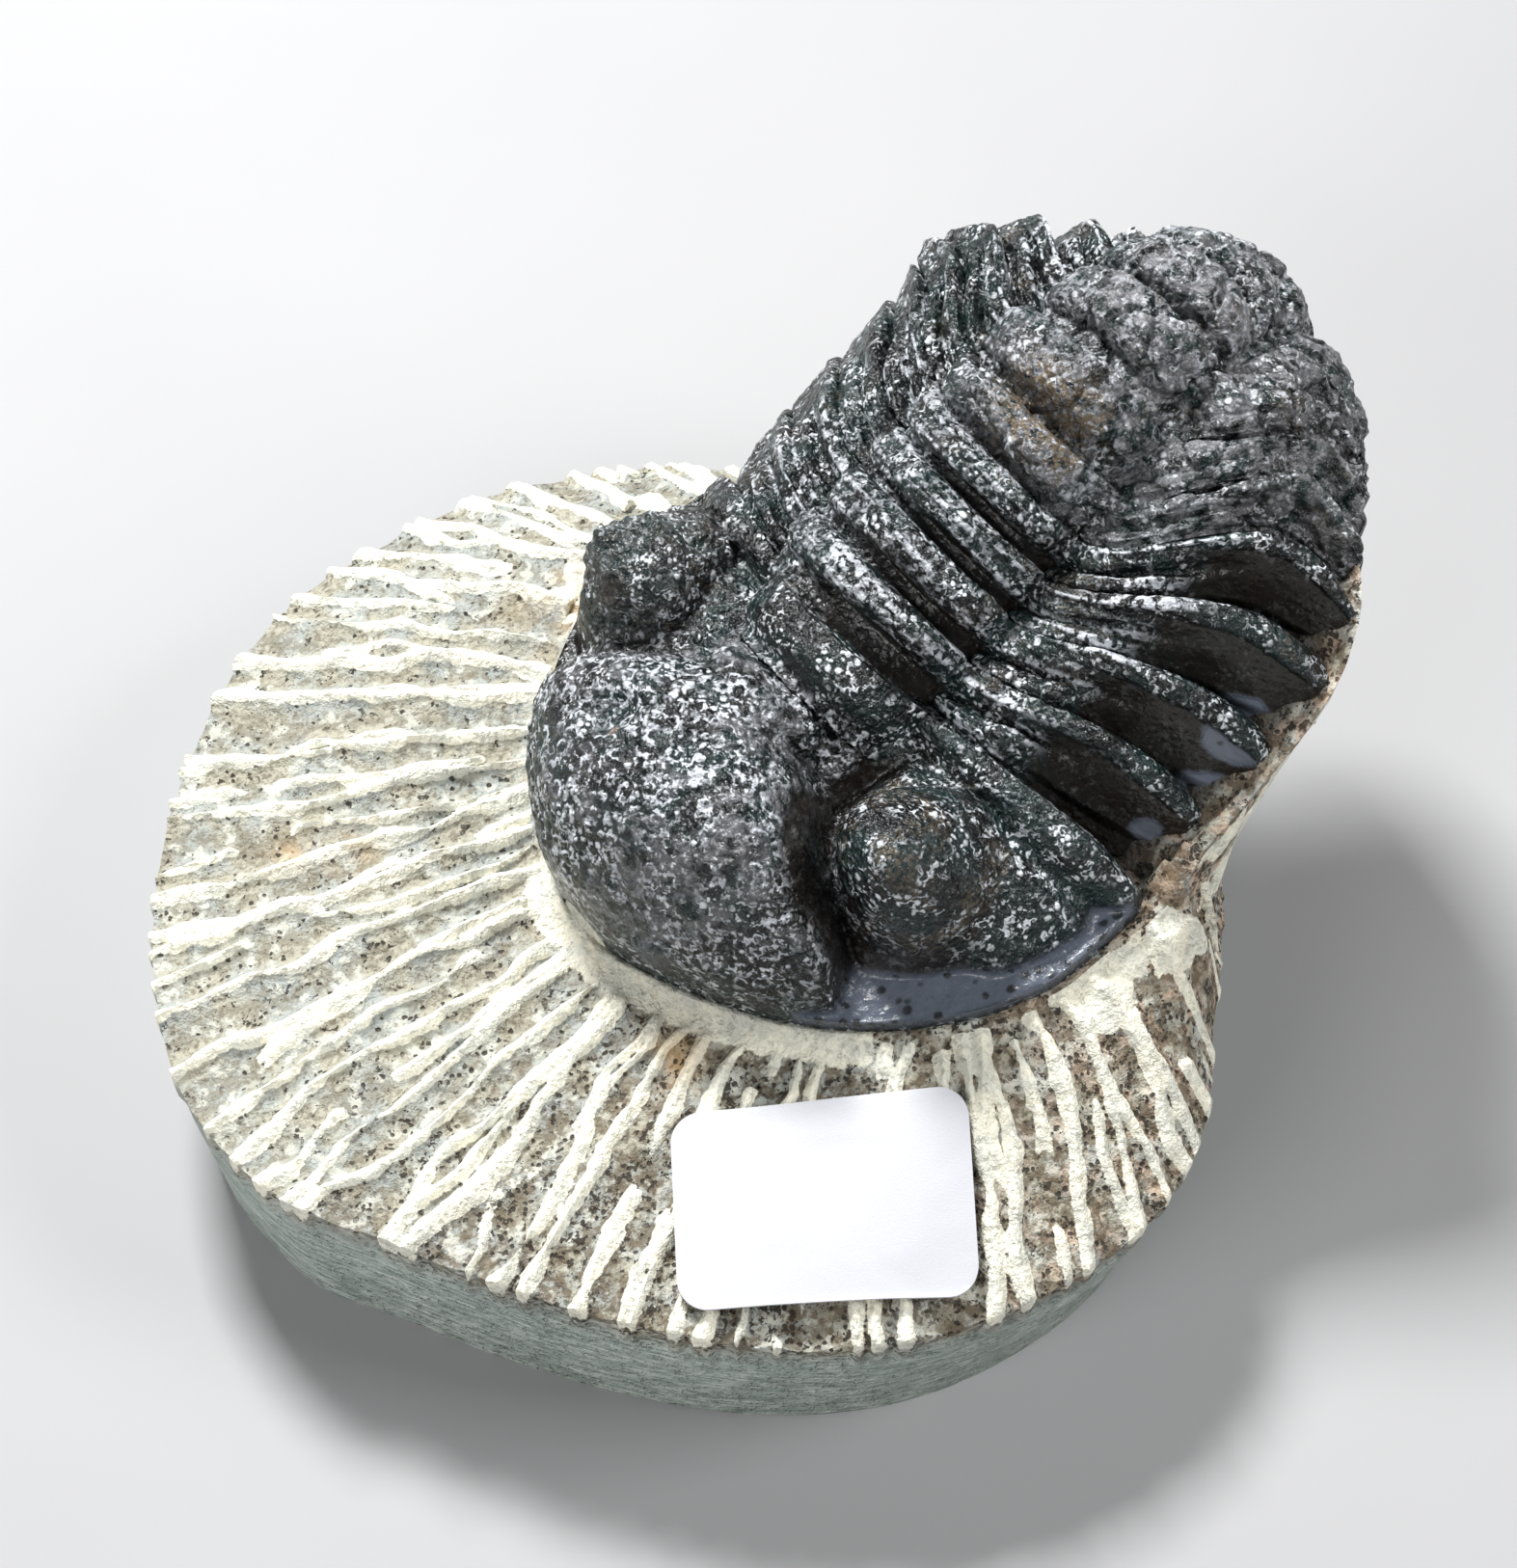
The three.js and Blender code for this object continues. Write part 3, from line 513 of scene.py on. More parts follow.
@dataclass
class Head:
    """The head shield: swollen middle, cheeks, eyes, border and the ring at its back."""

    front: tuple[float, float, float] = (-7.6, -3.7, 18.5)
    yaw: float = 38.0
    pitch: float = 12.0
    lean: float = 0.36
    half_width: Rows = (
        (-0.4, 0.0), (0.0, 2.0), (0.4, 4.0), (2.0, 8.5), (3.9, 12.5), (6.2, 16.3), (9.2, 19.9),
        (13.2, 23.2), (18.0, 25.8), (23.0, 27.0), (27.5, 26.8), (31.0, 25.4),
    )
    rear: Rows = ((0, 29.8), (8, 30.1), (13, 30.8), (18, 31.5), (22, 31.8), (25.5, 31.1))
    length: float = 32.4
    width: float = 27.8
    cheek_height: float = 9.6
    cheek_fullness: float = 5.5
    cheek_furrow: Furrow = Furrow(1.5, 28.0, 1.1, 7, 10)
    border_height: float = 1.7
    right_share: float = 0.8
    left_eye: Eye = Eye(21.3, 16.1, 8.2, 6.2, 14.7)
    right_eye: Eye = Eye(22.4, 18.0, 6.2, 6.0, 13.2)
    glabella_back: float = 25.6
    glabella_height: float = 16.6
    glabella_half: Rows = ((8.9, 20.0), (21.0, 7.8))
    glabella_middle: float = 12.0
    glabella_reach: float = 12.3
    glabella_roundness: float = 1.7
    glabella_fullness: float = 2.8
    glabella_rear_share: float = 0.88
    glabella_furrow: Furrow = Furrow(1.0, 20.6, 0.8, 2.5, 6)
    ring_half_width: float = 8.6
    ring_height: float = 9.4
    ring_arch: float = 5.8
    ring_groove: float = 2.4
    eye_fullness: float = 2.6
    moat_depth: float = 2.6
    moat_place: float = 1.14
    moat_spread: float = 0.2
    granule_size: float = 0.88
    wear_size: float = 3.4
    lens_rows: float = 44.0
    lens_files: float = 17.0
    notch: tuple[float, float, float] = (-5.6, 2.9, 36.1)
    bare_spot: tuple[float, float, float] = (-5.3, 1.6, 36.1)
    ledge: tuple[float, float, float] = (-2.8, -9.1, 24.3)
    rows: int = 262
    columns: int = 310
    under_columns: int = 44

    def point(self, back: Array, side: Array, height: Array) -> Array:
        """Point of the head, from its distances behind the front point, to the left and up."""
        towards, left, up = directions(self.yaw, self.pitch)
        lean = self.lean * height * smoothstep(back, 10, 26)
        place = np.array(self.front) + towards * (back - lean)[..., None]
        return place + left * side[..., None] + up * height[..., None]

    def place(self, row: Array, station: Array) -> tuple[Array, Array]:
        """Distances behind the front point and to the left, for a row and a station."""
        rear = self.rear[0][1]
        middle = row * rear
        pressed = np.where(station < 0, self.right_share, 1)
        side = station * flowing(self.half_width, middle) * pressed
        behind = flowing(self.rear, np.abs(self.even(side))) - rear
        return middle + behind * smoothstep(row, 0.75, 1), side

    def even(self, side: Array) -> Array:
        """Distance to the side as it would be on the left, which isn't pressed in."""
        return np.where(side < 0, -side / self.right_share, side)

    def cheek(self, back: Array, side: Array) -> Array:
        """Height of the cheeks, which fall away steeply to the margin."""
        ahead = np.maximum(0, (self.length - back) / self.length)
        out = np.minimum(1, np.hypot(ahead, side / self.width))
        bulge = self.cheek_height * (1 - out**self.cheek_fullness)
        return np.maximum(0, bulge - self.cheek_furrow.at(back, side))

    def glabella_share(self, back: Array, side: Array) -> Array:
        """How far out a place is in the swollen middle, from 0 to 1 at its foot."""
        half = along(self.glabella_half, back)
        ahead = np.maximum(0, (self.glabella_middle - back) / self.glabella_reach)
        power = self.glabella_roundness
        return (ahead**power + (side / half) ** power) ** (1 / power)

    def glabella(self, back: Array, side: Array) -> Array:
        """Height of the swollen middle."""
        out = self.glabella_share(back, side)
        inside = (out < 1) & (back < self.glabella_back)
        dome = self.glabella_height * np.sqrt(1 - np.clip(out, 0, 1) ** self.glabella_fullness)
        dome = dome * lerp(1, self.glabella_rear_share, smoothstep(back, self.glabella_middle, 24))
        behind = smoothstep(back, self.glabella_back + 0.4, self.glabella_back - 3.2)
        height = (dome - self.glabella_furrow.at(back, side)) * lerp(0.8, 1, behind)
        return np.where(inside, height, 0)

    def neck_ring(self, back: Array, side: Array) -> Array:
        """Height of the ring that joins the head to the thorax."""
        out = np.clip(side / self.ring_half_width, 0, 1)
        groove = self.ring_groove * bump(back, self.glabella_back - 0.4, 1.5)
        height = self.ring_height + self.ring_arch * np.sqrt(1 - out * out) - groove
        return np.where((out < 1) & (back > self.glabella_back - 0.8), height, 0)

    def eye_share(self, back: Array, side: Array) -> Array:
        """How far out a place is from the middle of the eye on its side, in eye sizes."""
        even = self.even(side)
        return np.where(side < 0, self.right_eye.share(back, even), self.left_eye.share(back, even))

    def moat(self, back: Array, side: Array) -> Array:
        """How deep a place is in the groove round the front and the inner side of the left eye."""
        eye = self.left_eye
        ahead = (eye.back - back) / eye.length
        inward = (eye.side - side) / eye.width
        facing = smoothstep(0.8 * ahead + 0.35 * inward, -0.45, 0.3)
        out = self.eye_share(back, side)
        return facing * bump(out, self.moat_place, self.moat_spread) * (side > 0)

    def height(self, back: Array, side: Array) -> Array:
        """Height of the upper surface over the plane of the margin."""
        even = self.even(side)
        out = self.eye_share(back, side)
        dome = np.sqrt(1 - np.clip(out, 0, 1) ** self.eye_fullness)
        whole = np.where(out < 1, self.left_eye.height * dome, 0)
        worn = self.right_eye.height * (1 - smoothstep(out, 0.5, 1.9))
        eye = np.where(side < 0, worn, whole)
        ground = self.cheek(back, even) - self.moat_depth * self.moat(back, side)
        swollen = soft_max(self.glabella(back, even), self.neck_ring(back, even), 0.5)
        top = soft_max(ground, swollen, 0.4)
        return soft_max(soft_max(top, eye, 0.3), self.border_height + 0 * eye, 0.3)

    def underside(self, back: Array, side: Array) -> Array:
        """Height of the hollow underside."""
        even = self.even(side)
        swollen = np.maximum(self.glabella(back, even), self.neck_ring(back, even))
        return np.maximum(0, 0.72 * np.maximum(self.cheek(back, even), swollen) - 1.4)

    def lay_out(self, rows: Array, stations: Array) -> tuple[Array, Array, Array]:
        """Distances behind and to the left, and points, of a grid of rows and stations."""
        row, station = np.meshgrid(rows, stations, indexing="ij")
        back, side = self.place(row, station)
        return back, side, self.point(back, side, self.height(back, side))

    def build(self, grain: Grain, material: bpy.types.Material) -> bpy.types.Object:
        """Make the head shield.

        Args:
            grain: Random texture for its granules and its wear.
            material: Finish of the shell.

        Returns:
            The finished piece.
        """
        coarse = self.lay_out(np.linspace(0.005, 1, 400), np.linspace(-1, 1, 400))[2]
        rows = 0.005 + 0.995 * even_steps(coarse, self.rows, 0)
        stations = -1 + 2 * even_steps(coarse, self.columns, 1)
        back, side, top = self.lay_out(rows, stations)
        even = self.even(side)
        swollen = 1 - smoothstep(self.glabella_share(back, even), 0.92, 1.02)
        swollen *= 1 - smoothstep(back, 24.5, 26)
        out = self.eye_share(back, side)
        eye = 1 - smoothstep(out, 0.9, 1.0)
        moat = self.moat(back, side)
        plain = self.height(back, side) - self.border_height
        edge = smoothstep(plain, 0.1, 0.9)
        broken = (1 - smoothstep(out, 0.9, 1.5)) * (side < 0)
        granule = grain.pimples(top, self.granule_size)
        wear = grain.rough(top, self.wear_size, 5)
        turn = np.arctan2(back - self.left_eye.back, side - self.left_eye.side)
        lens = np.cos(out * self.lens_rows) * np.cos(turn * self.lens_files)
        lens_zone = eye * smoothstep(out, 0.45, 0.6) * (side > 0)
        relief = (0.16 + 0.16 * swollen) * (granule - 0.3) * (1 - 0.75 * eye) * edge
        relief += 0.42 * wear * (1 - 0.6 * eye) + 0.1 * lens * lens_zone
        relief += broken * (1.9 * grain.rough(top, 4.2, 5) + 0.3 * granule)
        near_notch = np.linalg.norm(top - np.array(self.notch), axis=-1) + 0.9 * wear
        relief -= 1.2 * (1 - smoothstep(near_notch, 0.6, 2.4))
        near_ledge = np.linalg.norm(top - np.array(self.ledge), axis=-1) + 1.6 * wear
        relief += 0.35 * (1 - smoothstep(near_ledge, 1.2, 1.6))
        fade = smoothstep(rows, 0.005, 0.03)[:, None] * smoothstep(1 - np.abs(stations), 0, 0.01)
        _, _, up = directions(self.yaw, self.pitch)
        top = swell(top, up, relief * fade)
        under_station = np.linspace(1, -1, self.under_columns)
        row, station = np.meshgrid(rows, under_station, indexing="ij")
        under_back, under_side = self.place(row, station)
        height = self.underside(under_back, under_side)
        height *= np.where(np.abs(station) == 1, smoothstep(under_back, 24, 28), 1)
        height = np.minimum(height, self.height(under_back, under_side) - 1)
        lip = (1 - edge) * smoothstep(side, 2, 8)
        bare = 1 - smoothstep(np.linalg.norm(top - np.array(self.bare_spot), axis=-1), 0.4, 1.0)
        masks = {
            "granules": granule * (1 - 0.6 * eye),
            # Painted highlights: the rings mask places pale highlight rims round granule cells on
            # the swollen middle, and also their domed bump.
            "rings": swollen * (1 - 0.8 * smoothstep(wear, -0.05, 0.2)),
            "dust": 0.5 * eye * smoothstep(wear, -0.1, 0.3) * (side > 0) + broken * 0.12,
            "polish": np.maximum((1 - edge) * 0.7, np.clip(1.5 * moat, 0, 1)),
            "ashy": 0.7 * swollen * smoothstep(wear, -0.2, 0.15) + 0.15 * broken,
            "resin": lip * 0.8 + 0.5 * (1 - smoothstep(near_ledge, 0.8, 1.8)),
            "bare": bare,
        }
        loops = np.concatenate([top, self.point(under_back, under_side, height)], axis=1)
        return Loft("head_shield", loops, padded(masks, under_back.shape)).to_object(material)


@dataclass
class Thorax:
    """The jointed plates behind the head."""

    line: BodyLine
    columns: int = 300
    rows: int = 52
    shell_depth: float = 3.4
    edge_depth: float = 0.9
    facet_depth: float = 2.5
    right_facet_depth: float = 0.6
    lobe_height: float = 1.25
    groove_depth: float = 1.1
    crest_height: float = 0.5
    tip_from: float = 1.7
    tip_loss: float = 0.75
    right_tip_loss: float = 0.5
    worn_from: float = 3.9
    worn_full: float = 5.5
    front_place: float = -1.3
    first_reach: float = 0.5
    dust_spot: tuple[float, float, float] = (25.0, 19.6, 47.4)
    resin_spots: tuple[tuple[float, float, float, float], ...] = (
        (38.4, 2.2, 34.2, 2.9), (36.2, -0.2, 29.9, 2.2), (32.3, -2.0, 28.1, 1.3),
    )

    def relief(self, station: Array, place: Array) -> Array:
        """Height of a plate's relief over the plain surface.

        Args:
            station: Place across: up to 1 is the axis, from 1 to 2 the side out to its tip.
            place: Place along the plate, from -1 in front to 1 behind.

        Returns:
            Heights in millimetres.
        """
        out = np.abs(station)
        share = np.clip(out - 1, 0, 1)
        to_left = smoothstep(station, -0.7, 0.4)
        middle, reach = lerp(0.16, 0.32, to_left), lerp(0.84, 0.66, to_left)
        inside = 1 - ((place - middle) / reach) ** 2
        lobe = self.lobe_height * np.sqrt(np.clip(inside, 0, 1)) - 0.55
        hollow = lerp(0.6, 1.6, to_left * (1 - smoothstep(station, 0.95, 1)))
        floor = -0.3 - hollow * smoothstep(-place, 0.0, 0.55) - 0.5 * smoothstep(place, 0.85, 1)
        ring = lerp(floor, lobe, smoothstep(inside, 0, 0.3))
        groove = self.groove_depth * bump(place, lerp(-0.35, 0.2, share), 0.24)
        groove = groove * (1 - smoothstep(share, 0.4, 0.7))
        depth = np.where(station < 0, self.right_facet_depth, self.facet_depth)
        calm = np.where(station < 0, 1 - 0.35 * smoothstep(share, 0.6, 0.95), 1)
        facet = depth * smoothstep(share, 0.34, 0.56) * smoothstep(-place, -0.5, 0.85)
        crest = self.crest_height * bump(place, 0.66, 0.3) * smoothstep(share, 0.2, 0.5)
        ends = 0.9 * smoothstep(place, 0.86, 1) + 0.8 * smoothstep(-place, 0.9, 1.15)
        side = 0.3 - groove + (crest - facet - ends) * calm
        return np.where(out <= 1, ring, side)

    def tip_share(self, station: Array) -> Array:
        """Share of a plate's length that is left towards its rounded tip."""
        beyond = np.clip((np.abs(station) - self.tip_from) / (2 - self.tip_from), 0, 1)
        lost = np.where(station < 0, self.right_tip_loss, self.tip_loss)
        return np.sqrt(1 - lost * beyond * beyond)

    def build(self, number: int, grain: Grain, material: bpy.types.Material) -> bpy.types.Object:
        """Make one plate.

        Args:
            number: Its number, counted from the head.
            grain: Random texture for its granules and its wear.
            material: Finish of the shell.

        Returns:
            The finished piece.
        """
        line = self.line
        own = line.lengths[number - 1] / 2
        front_place = self.front_place - (self.first_reach if number == 1 else 0)
        rows = np.linspace(front_place, 1, self.rows)
        stations = np.linspace(-2, 2, self.columns)

        def lay(station: Array, place: Array, lift: Array) -> Array:
            """Points of the plate for stations, places along it and heights over the surface."""
            front = line.fanned(station, line.segment_middle(number) - own)
            end = line.fanned(station, line.segment_middle(number) + own)
            middle, half = (front + end) / 2, (end - front) / 2
            side, height = line.across(middle, station)
            along_body = middle + line.sweep(station) + half * place * self.tip_share(station)
            return line.point(along_body, side, height + lift)

        station, place = np.meshgrid(stations, rows, indexing="ij")
        out = np.abs(station)
        share = np.clip(out - 1, 0, 1)
        worn = smoothstep(np.array(float(number)), self.worn_from, self.worn_full)
        worn = worn * smoothstep(station, -1.1, -0.2)
        relief = self.relief(station, place) * (1 - 0.7 * worn * smoothstep(station, 0.2, 1.1))
        top = lay(station, place, relief)
        on_side = out > 1
        facet = smoothstep(share, 0.4, 0.52) * smoothstep(-place, -0.42, -0.3) * (station > 0)
        pit = (1 - smoothstep(place, -0.5, -0.2)) * (1 - on_side) * smoothstep(station, -0.6, 0.2)
        smooth = np.clip(np.maximum(facet, pit), 0, 1) * (1 - 0.8 * worn)
        granule = grain.pimples(top, GRANULE_SIZE)
        wear = grain.rough(top, WEAR_SIZE, 4)
        thread_place = np.stack([station * 4.2 + number * 9, place * own, 0 * place], -1)
        threads = grain.soft(thread_place, np.array([2.2, 0.36, 1.0]))
        stripes = smoothstep(share, 0.0, 0.08) * (1 - smoothstep(share, 0.45, 0.6))
        stripes = np.maximum(stripes, 0.8 * (1 - on_side))
        detail = 0.18 * granule * (1 - 0.6 * smooth) + 0.34 * wear * (1 - 0.4 * smooth)
        detail += 0.22 * threads * stripes * (1 - smooth) * (1 - worn)
        crag, crack = grain.cracked(top)
        detail += worn * (0.8 * crag - 0.4 * crack)
        fade = smoothstep(2 - np.abs(stations), 0, 0.03)[:, None] * smoothstep(1 - rows, 0, 0.06)
        top = swell(top, line.upward(np.array(line.segment_middle(number))), detail * fade)
        under_rows = np.array([1.0, 0.0, -1.0])
        under_station, under_place = np.meshgrid(stations, under_rows, indexing="ij")
        depth = lerp(self.shell_depth, self.edge_depth, smoothstep(np.abs(under_station), 1.85, 2))
        edge = self.relief(under_station, under_place) - self.edge_depth
        under = lay(under_station, under_place, np.minimum(-depth, edge))
        dusty = np.linalg.norm(top - np.array(self.dust_spot), axis=-1) + 2.5 * wear
        resin = np.zeros(place.shape)
        for *spot, reach in self.resin_spots:
            away = np.linalg.norm(top - np.array(spot), axis=-1) + 0.8 * wear
            resin = np.maximum(resin, (1 - smoothstep(away, reach - 0.4, reach)) * facet)
        masks = {
            "granules": granule * (1 - smooth),
            # Painted highlights: the rings mask places pale highlight rims round granule cells (and
            # their domed bump), and the streaks mask places pale highlight streaks along the
            # ridges.
            "rings": 0.4 * (1 - on_side) * (1 - smooth),
            "highlight_streaks": smoothstep(threads, 0.15, 0.5) * stripes * (1 - smooth) * (1 - worn),
            "dust": smoothstep(wear, 0.1, 0.5) * 0.25 + 1.1 * (1 - smoothstep(dusty, 2.5, 5.2)),
            "polish": smooth,
            "ashy": worn * (0.55 + 0.45 * smoothstep(crag, -0.2, 0.2)),
            "resin": resin,
            "bare": 0 * wear,
        }
        rings = np.concatenate([top, under], axis=1)
        name = f"thorax_plate_{number:02d}"
        return Loft(name, rings, padded(masks, under_place.shape)).to_object(material)


@dataclass
class Tail:
    """The tail shield, lumpy and cracked."""

    line: BodyLine
    rows: int = 130
    columns: int = 210
    shell_depth: float = 3.4
    edge_depth: float = 0.9
    flattening: float = 0.75

    def build(self, grain: Grain, material: bpy.types.Material) -> bpy.types.Object:
        """Make the tail shield.

        Args:
            grain: Random texture for its lumps and cracks.
            material: Finish of the shell.

        Returns:
            The finished piece.
        """
        shares = np.linspace(0, 1, self.rows)
        stations = np.linspace(-2, 2, self.columns)
        share, station = np.meshgrid(shares, stations, indexing="ij")
        distance = self.line.thorax_end + 0.05 + share * self.line.tail_length
        width = np.sqrt(np.maximum(0.02, 1 - share**2.2))
        flatten = lerp(1, self.flattening, share)
        swept = distance + self.line.sweep(station) * (1 - share)
        side, height = self.line.across(distance, station, width)
        rib = 0.4 * np.cos(share * 5 * 2 * np.pi) * (1 - share)
        top = self.line.point(swept, side, height * flatten + rib)
        wear = grain.rough(top, WEAR_SIZE, 4)
        crag, crack = grain.cracked(top)
        granule = grain.pimples(top, GRANULE_SIZE)
        fade = smoothstep(shares, 0, 0.02)[:, None] * smoothstep(2 - np.abs(stations), 0, 0.03)
        detail = (0.7 * crag + 0.35 * wear - 0.35 * crack + 0.18 * granule) * fade
        top = swell(top, self.line.upward(np.array(self.line.thorax_end)), detail)
        thinned = self.shell_depth * lerp(1, 0.5, share)
        depth = np.where(np.abs(station) > 1.99, self.edge_depth, thinned)
        under = self.line.point(swept, side, height * flatten - depth)[:, ::-4]
        masks = {
            "granules": granule * (1 - crack),
            "rings": 0 * wear,
            "dust": smoothstep(wear, 0.0, 0.5) * 0.3,
            "polish": 0 * wear,
            "ashy": 0.55 + 0.45 * smoothstep(crag, -0.2, 0.2),
            "resin": 0 * wear,
            "bare": 0 * wear,
        }
        rings = np.concatenate([top, under], axis=1)
        return Loft("tail_shield", rings, padded(masks, under.shape[:2])).to_object(material)


@dataclass
class Block:
    """The round block of limestone, with its chiselled top and the rise that carries the body."""

    head: Head
    line: BodyLine
    rim_points: tuple[tuple[float, float], ...] = (
        (39.0, 1.0), (37.8, 12.0), (34.0, 22.5), (27.0, 32.0), (16.5, 38.6), (5.0, 41.2),
        (-5.4, 41.5), (-16.7, 38.7), (-24.0, 34.4), (-29.7, 29.6), (-34.4, 23.1), (-37.6, 14.1),
        (-39.2, 3.0), (-38.6, -6.5), (-35.6, -16.0), (-29.7, -23.1), (-20.7, -27.4),
        (-9.9, -31.9), (-2.0, -34.3), (5.9, -35.6), (15.8, -35.0), (25.8, -30.9), (32.7, -25.3),
        (36.6, -18.0), (37.6, -11.0), (38.6, -4.0),
    )
    rim_height: float = 15.0
    rim_middle: tuple[float, float] = (0.0, 2.5)
    base_share: float = 0.918
    base_lean: float = 0.035
    base_lean_toward: float = 225.0
    centre: tuple[float, float] = (14.0, 12.0)
    ledge: Rows = (
        (-52, 0.5), (-40, 2.4), (-22, 1.3), (-6, 0.7), (6, -0.6), (20, -1.5), (132, -1.5),
        (146, 0.5),
    )
    gutter_width: float = 1.6
    gutter_depth: float = 0.9
    foot_inset: float = 1.2
    foot_height: float = 16.6
    band_from: float = 203.0
    band_to: float = 268.0
    ridges: int = 62
    ridge_height: float = 0.8
    wall_from: float = 25.5
    wall_full: float = 28.5
    rim_drop: float = 0.35
    gouge_height: float = 0.8
    chalk: float = 0.9
    chalk_low: float = 6.4
    chalk_high: float = 7.6
    columns: int = 850
    rim_samples: int = 3000
    stain_spots: tuple[tuple[float, float, float], ...] = (
        (-9.2, 22.9, 3.4), (-28.6, 3.9, 1.8), (-24.3, 3.5, 1.7), (-9.6, -6.5, 2.4),
        (-0.8, -14.7, 2.2), (31.9, -7.0, 2.6),
    )

    def polar(self, points: Array) -> Array:
        """Rows of angle and distance from the chisel centre, for more than one full turn."""
        away = points - np.array(self.centre)
        angle = np.arctan2(away[:, 1], away[:, 0]) % (2 * np.pi)
        order = np.argsort(angle)
        rows = np.stack([angle, np.hypot(away[:, 0], away[:, 1])], -1)[order]
        turn = np.array([2 * np.pi, 0])
        return np.concatenate([rows[-4:] - turn, rows, rows[:4] + turn])

    def outline(self) -> Array:
        """Outline of the fossil as it lies, round the margin, the side tips and the tail."""
        backs = np.linspace(0, 31, 60)
        flanks = {}
        for flank in Flank:
            pressed = self.head.right_share if flank is Flank.RIGHT else 1
            side = flank.value * pressed * flowing(self.head.half_width, backs)
            margin = self.head.point(backs, side, 0 * backs)
            station = np.full(60, 2.0 * flank.value)
            distance = np.linspace(self.line.segment_middle(1), self.line.thorax_end, 60)
            out, height = self.line.across(distance, station)
            tips = self.line.point(distance + self.line.sweep(station), out, height)
            share = np.linspace(0.05, 0.95, 20)
            distance = self.line.thorax_end + share * self.line.tail_length
            station = np.full(20, 2.0 * flank.value)
            width = np.sqrt(1 - share**2.2)
            out, height = self.line.across(distance, station, width)
            swept = distance + self.line.sweep(station) * (width - share)
            tail = self.line.point(swept, out, height)
            flanks[flank] = np.concatenate([margin, tips, tail])
        return np.concatenate([flanks[Flank.LEFT], flanks[Flank.RIGHT][::-1]])

    def reach(self, loop: Array, angle: Array) -> tuple[Array, Array]:
        """Distance from the chisel centre to a loop, and the loop's height there.

        Args:
            loop: Points of the loop.
            angle: Directions to look in.

        Returns:
            Distances and heights, one for each direction.
        """
        start = loop - np.array([*self.centre, 0])
        end = np.roll(start, -1, axis=0)
        dx, dy = np.cos(angle)[:, None], np.sin(angle)[:, None]
        here = dx * start[:, 1] - dy * start[:, 0]
        there = dx * end[:, 1] - dy * end[:, 0]
        share = here / np.where(here == there, 1, here - there)
        hit = lerp(start, end, share[..., None])
        distance = hit[..., 0] * dx + hit[..., 1] * dy
        distance = np.where((here * there <= 0) & (here != there), distance, 0)
        best = distance.argmax(axis=1)
        line = np.arange(len(angle))
        return distance[line, best], hit[line, best, 2]

    def rim_and_base(self) -> tuple[Array, Array, Array]:
        """Angles at even steps along the rim, and the rim's and the base's distances there."""
        rim_points = np.array(self.rim_points)
        rim_table = self.polar(rim_points)
        walk = np.linspace(0, 2 * np.pi, self.rim_samples)
        edge = flowing(rim_table, walk)
        place = np.stack([edge * np.cos(walk), edge * np.sin(walk)], -1)
        walked = np.concatenate([[0], np.cumsum(np.linalg.norm(np.diff(place, axis=0), axis=1))])
        even = np.linspace(0, walked[-1], self.columns, endpoint=False)
        angle = np.interp(even, walked, walk)
        outer = rim_points - np.array(self.rim_middle)
        lean_toward = math.radians(self.base_lean_toward)
        towards = np.arctan2(rim_points[:, 1], rim_points[:, 0]) - lean_toward
        share = self.base_share + self.base_lean * np.cos(towards)
        base = flowing(self.polar(np.array(self.rim_middle) + outer * share[:, None]), angle)
        return angle, flowing(rim_table, angle), base

    def chisel_marks(self, angle: Array, radius: Array, grain: Grain) -> tuple[Array, Array]:
        """Where the chisel ridges and the hollows between them are.

        Args:
            angle: Directions from the chisel centre.
            radius: Distances from it.
            grain: Random texture for the ridges' course.

        Returns:
            How much a place is on a flat ridge, and how deep it is in a hollow, from 0 to 1.
        """
        best = np.zeros(angle.shape)
        nearest = np.full(angle.shape, 9.0)
        turn = 2 * np.pi / self.ridges
        flat = np.stack([radius * np.cos(angle), radius * np.sin(angle), 0 * radius], -1)
        ragged = 0.42 * grain.rough(flat, 1.5, 4)
        for phase, late in ((0.0, False), (0.5, True)):
            for step in (-1, 0, 1, 2):
                index = np.floor(angle / turn - phase) + step
                number = np.mod(index, self.ridges) + 100 * phase
                key = np.stack([number, 0 * number, 0 * number], -1)
                course = np.stack([radius, number * 91.7, 0 * radius], -1)
                wander = 1.1 * grain.soft(course, 11.0) + 0.7 * grain.soft(course, 3.8)
                line = (index + phase + 0.25 * (2 * grain.chance(key) - 1)) * turn
                away = np.abs((angle - line) * radius - wander)
                strength = 0.62 + 0.9 * grain.soft(course + 31.0, 7.0)
                if late:
                    start = 23 + 11 * grain.chance(key, 2)
                    strength = strength * smoothstep(radius, start, start + 1.2)
                strength = smoothstep(strength, 0.08, 0.3)
                half = 0.36 + 0.26 * grain.chance(key, 3) + 0.36 * grain.soft(course + 57.0, 3.6)
                half = half * lerp(0.72, 1, smoothstep(radius, 18, 27)) * (0.85 if late else 1)
                ridge = strength * (1 - smoothstep(away + ragged, half - 0.2, half + 0.26))
                best = np.maximum(best, ridge)
                nearest = np.minimum(nearest, away + 2.5 * (1 - strength))
        return best, 1 - np.exp(-nearest / 0.9)

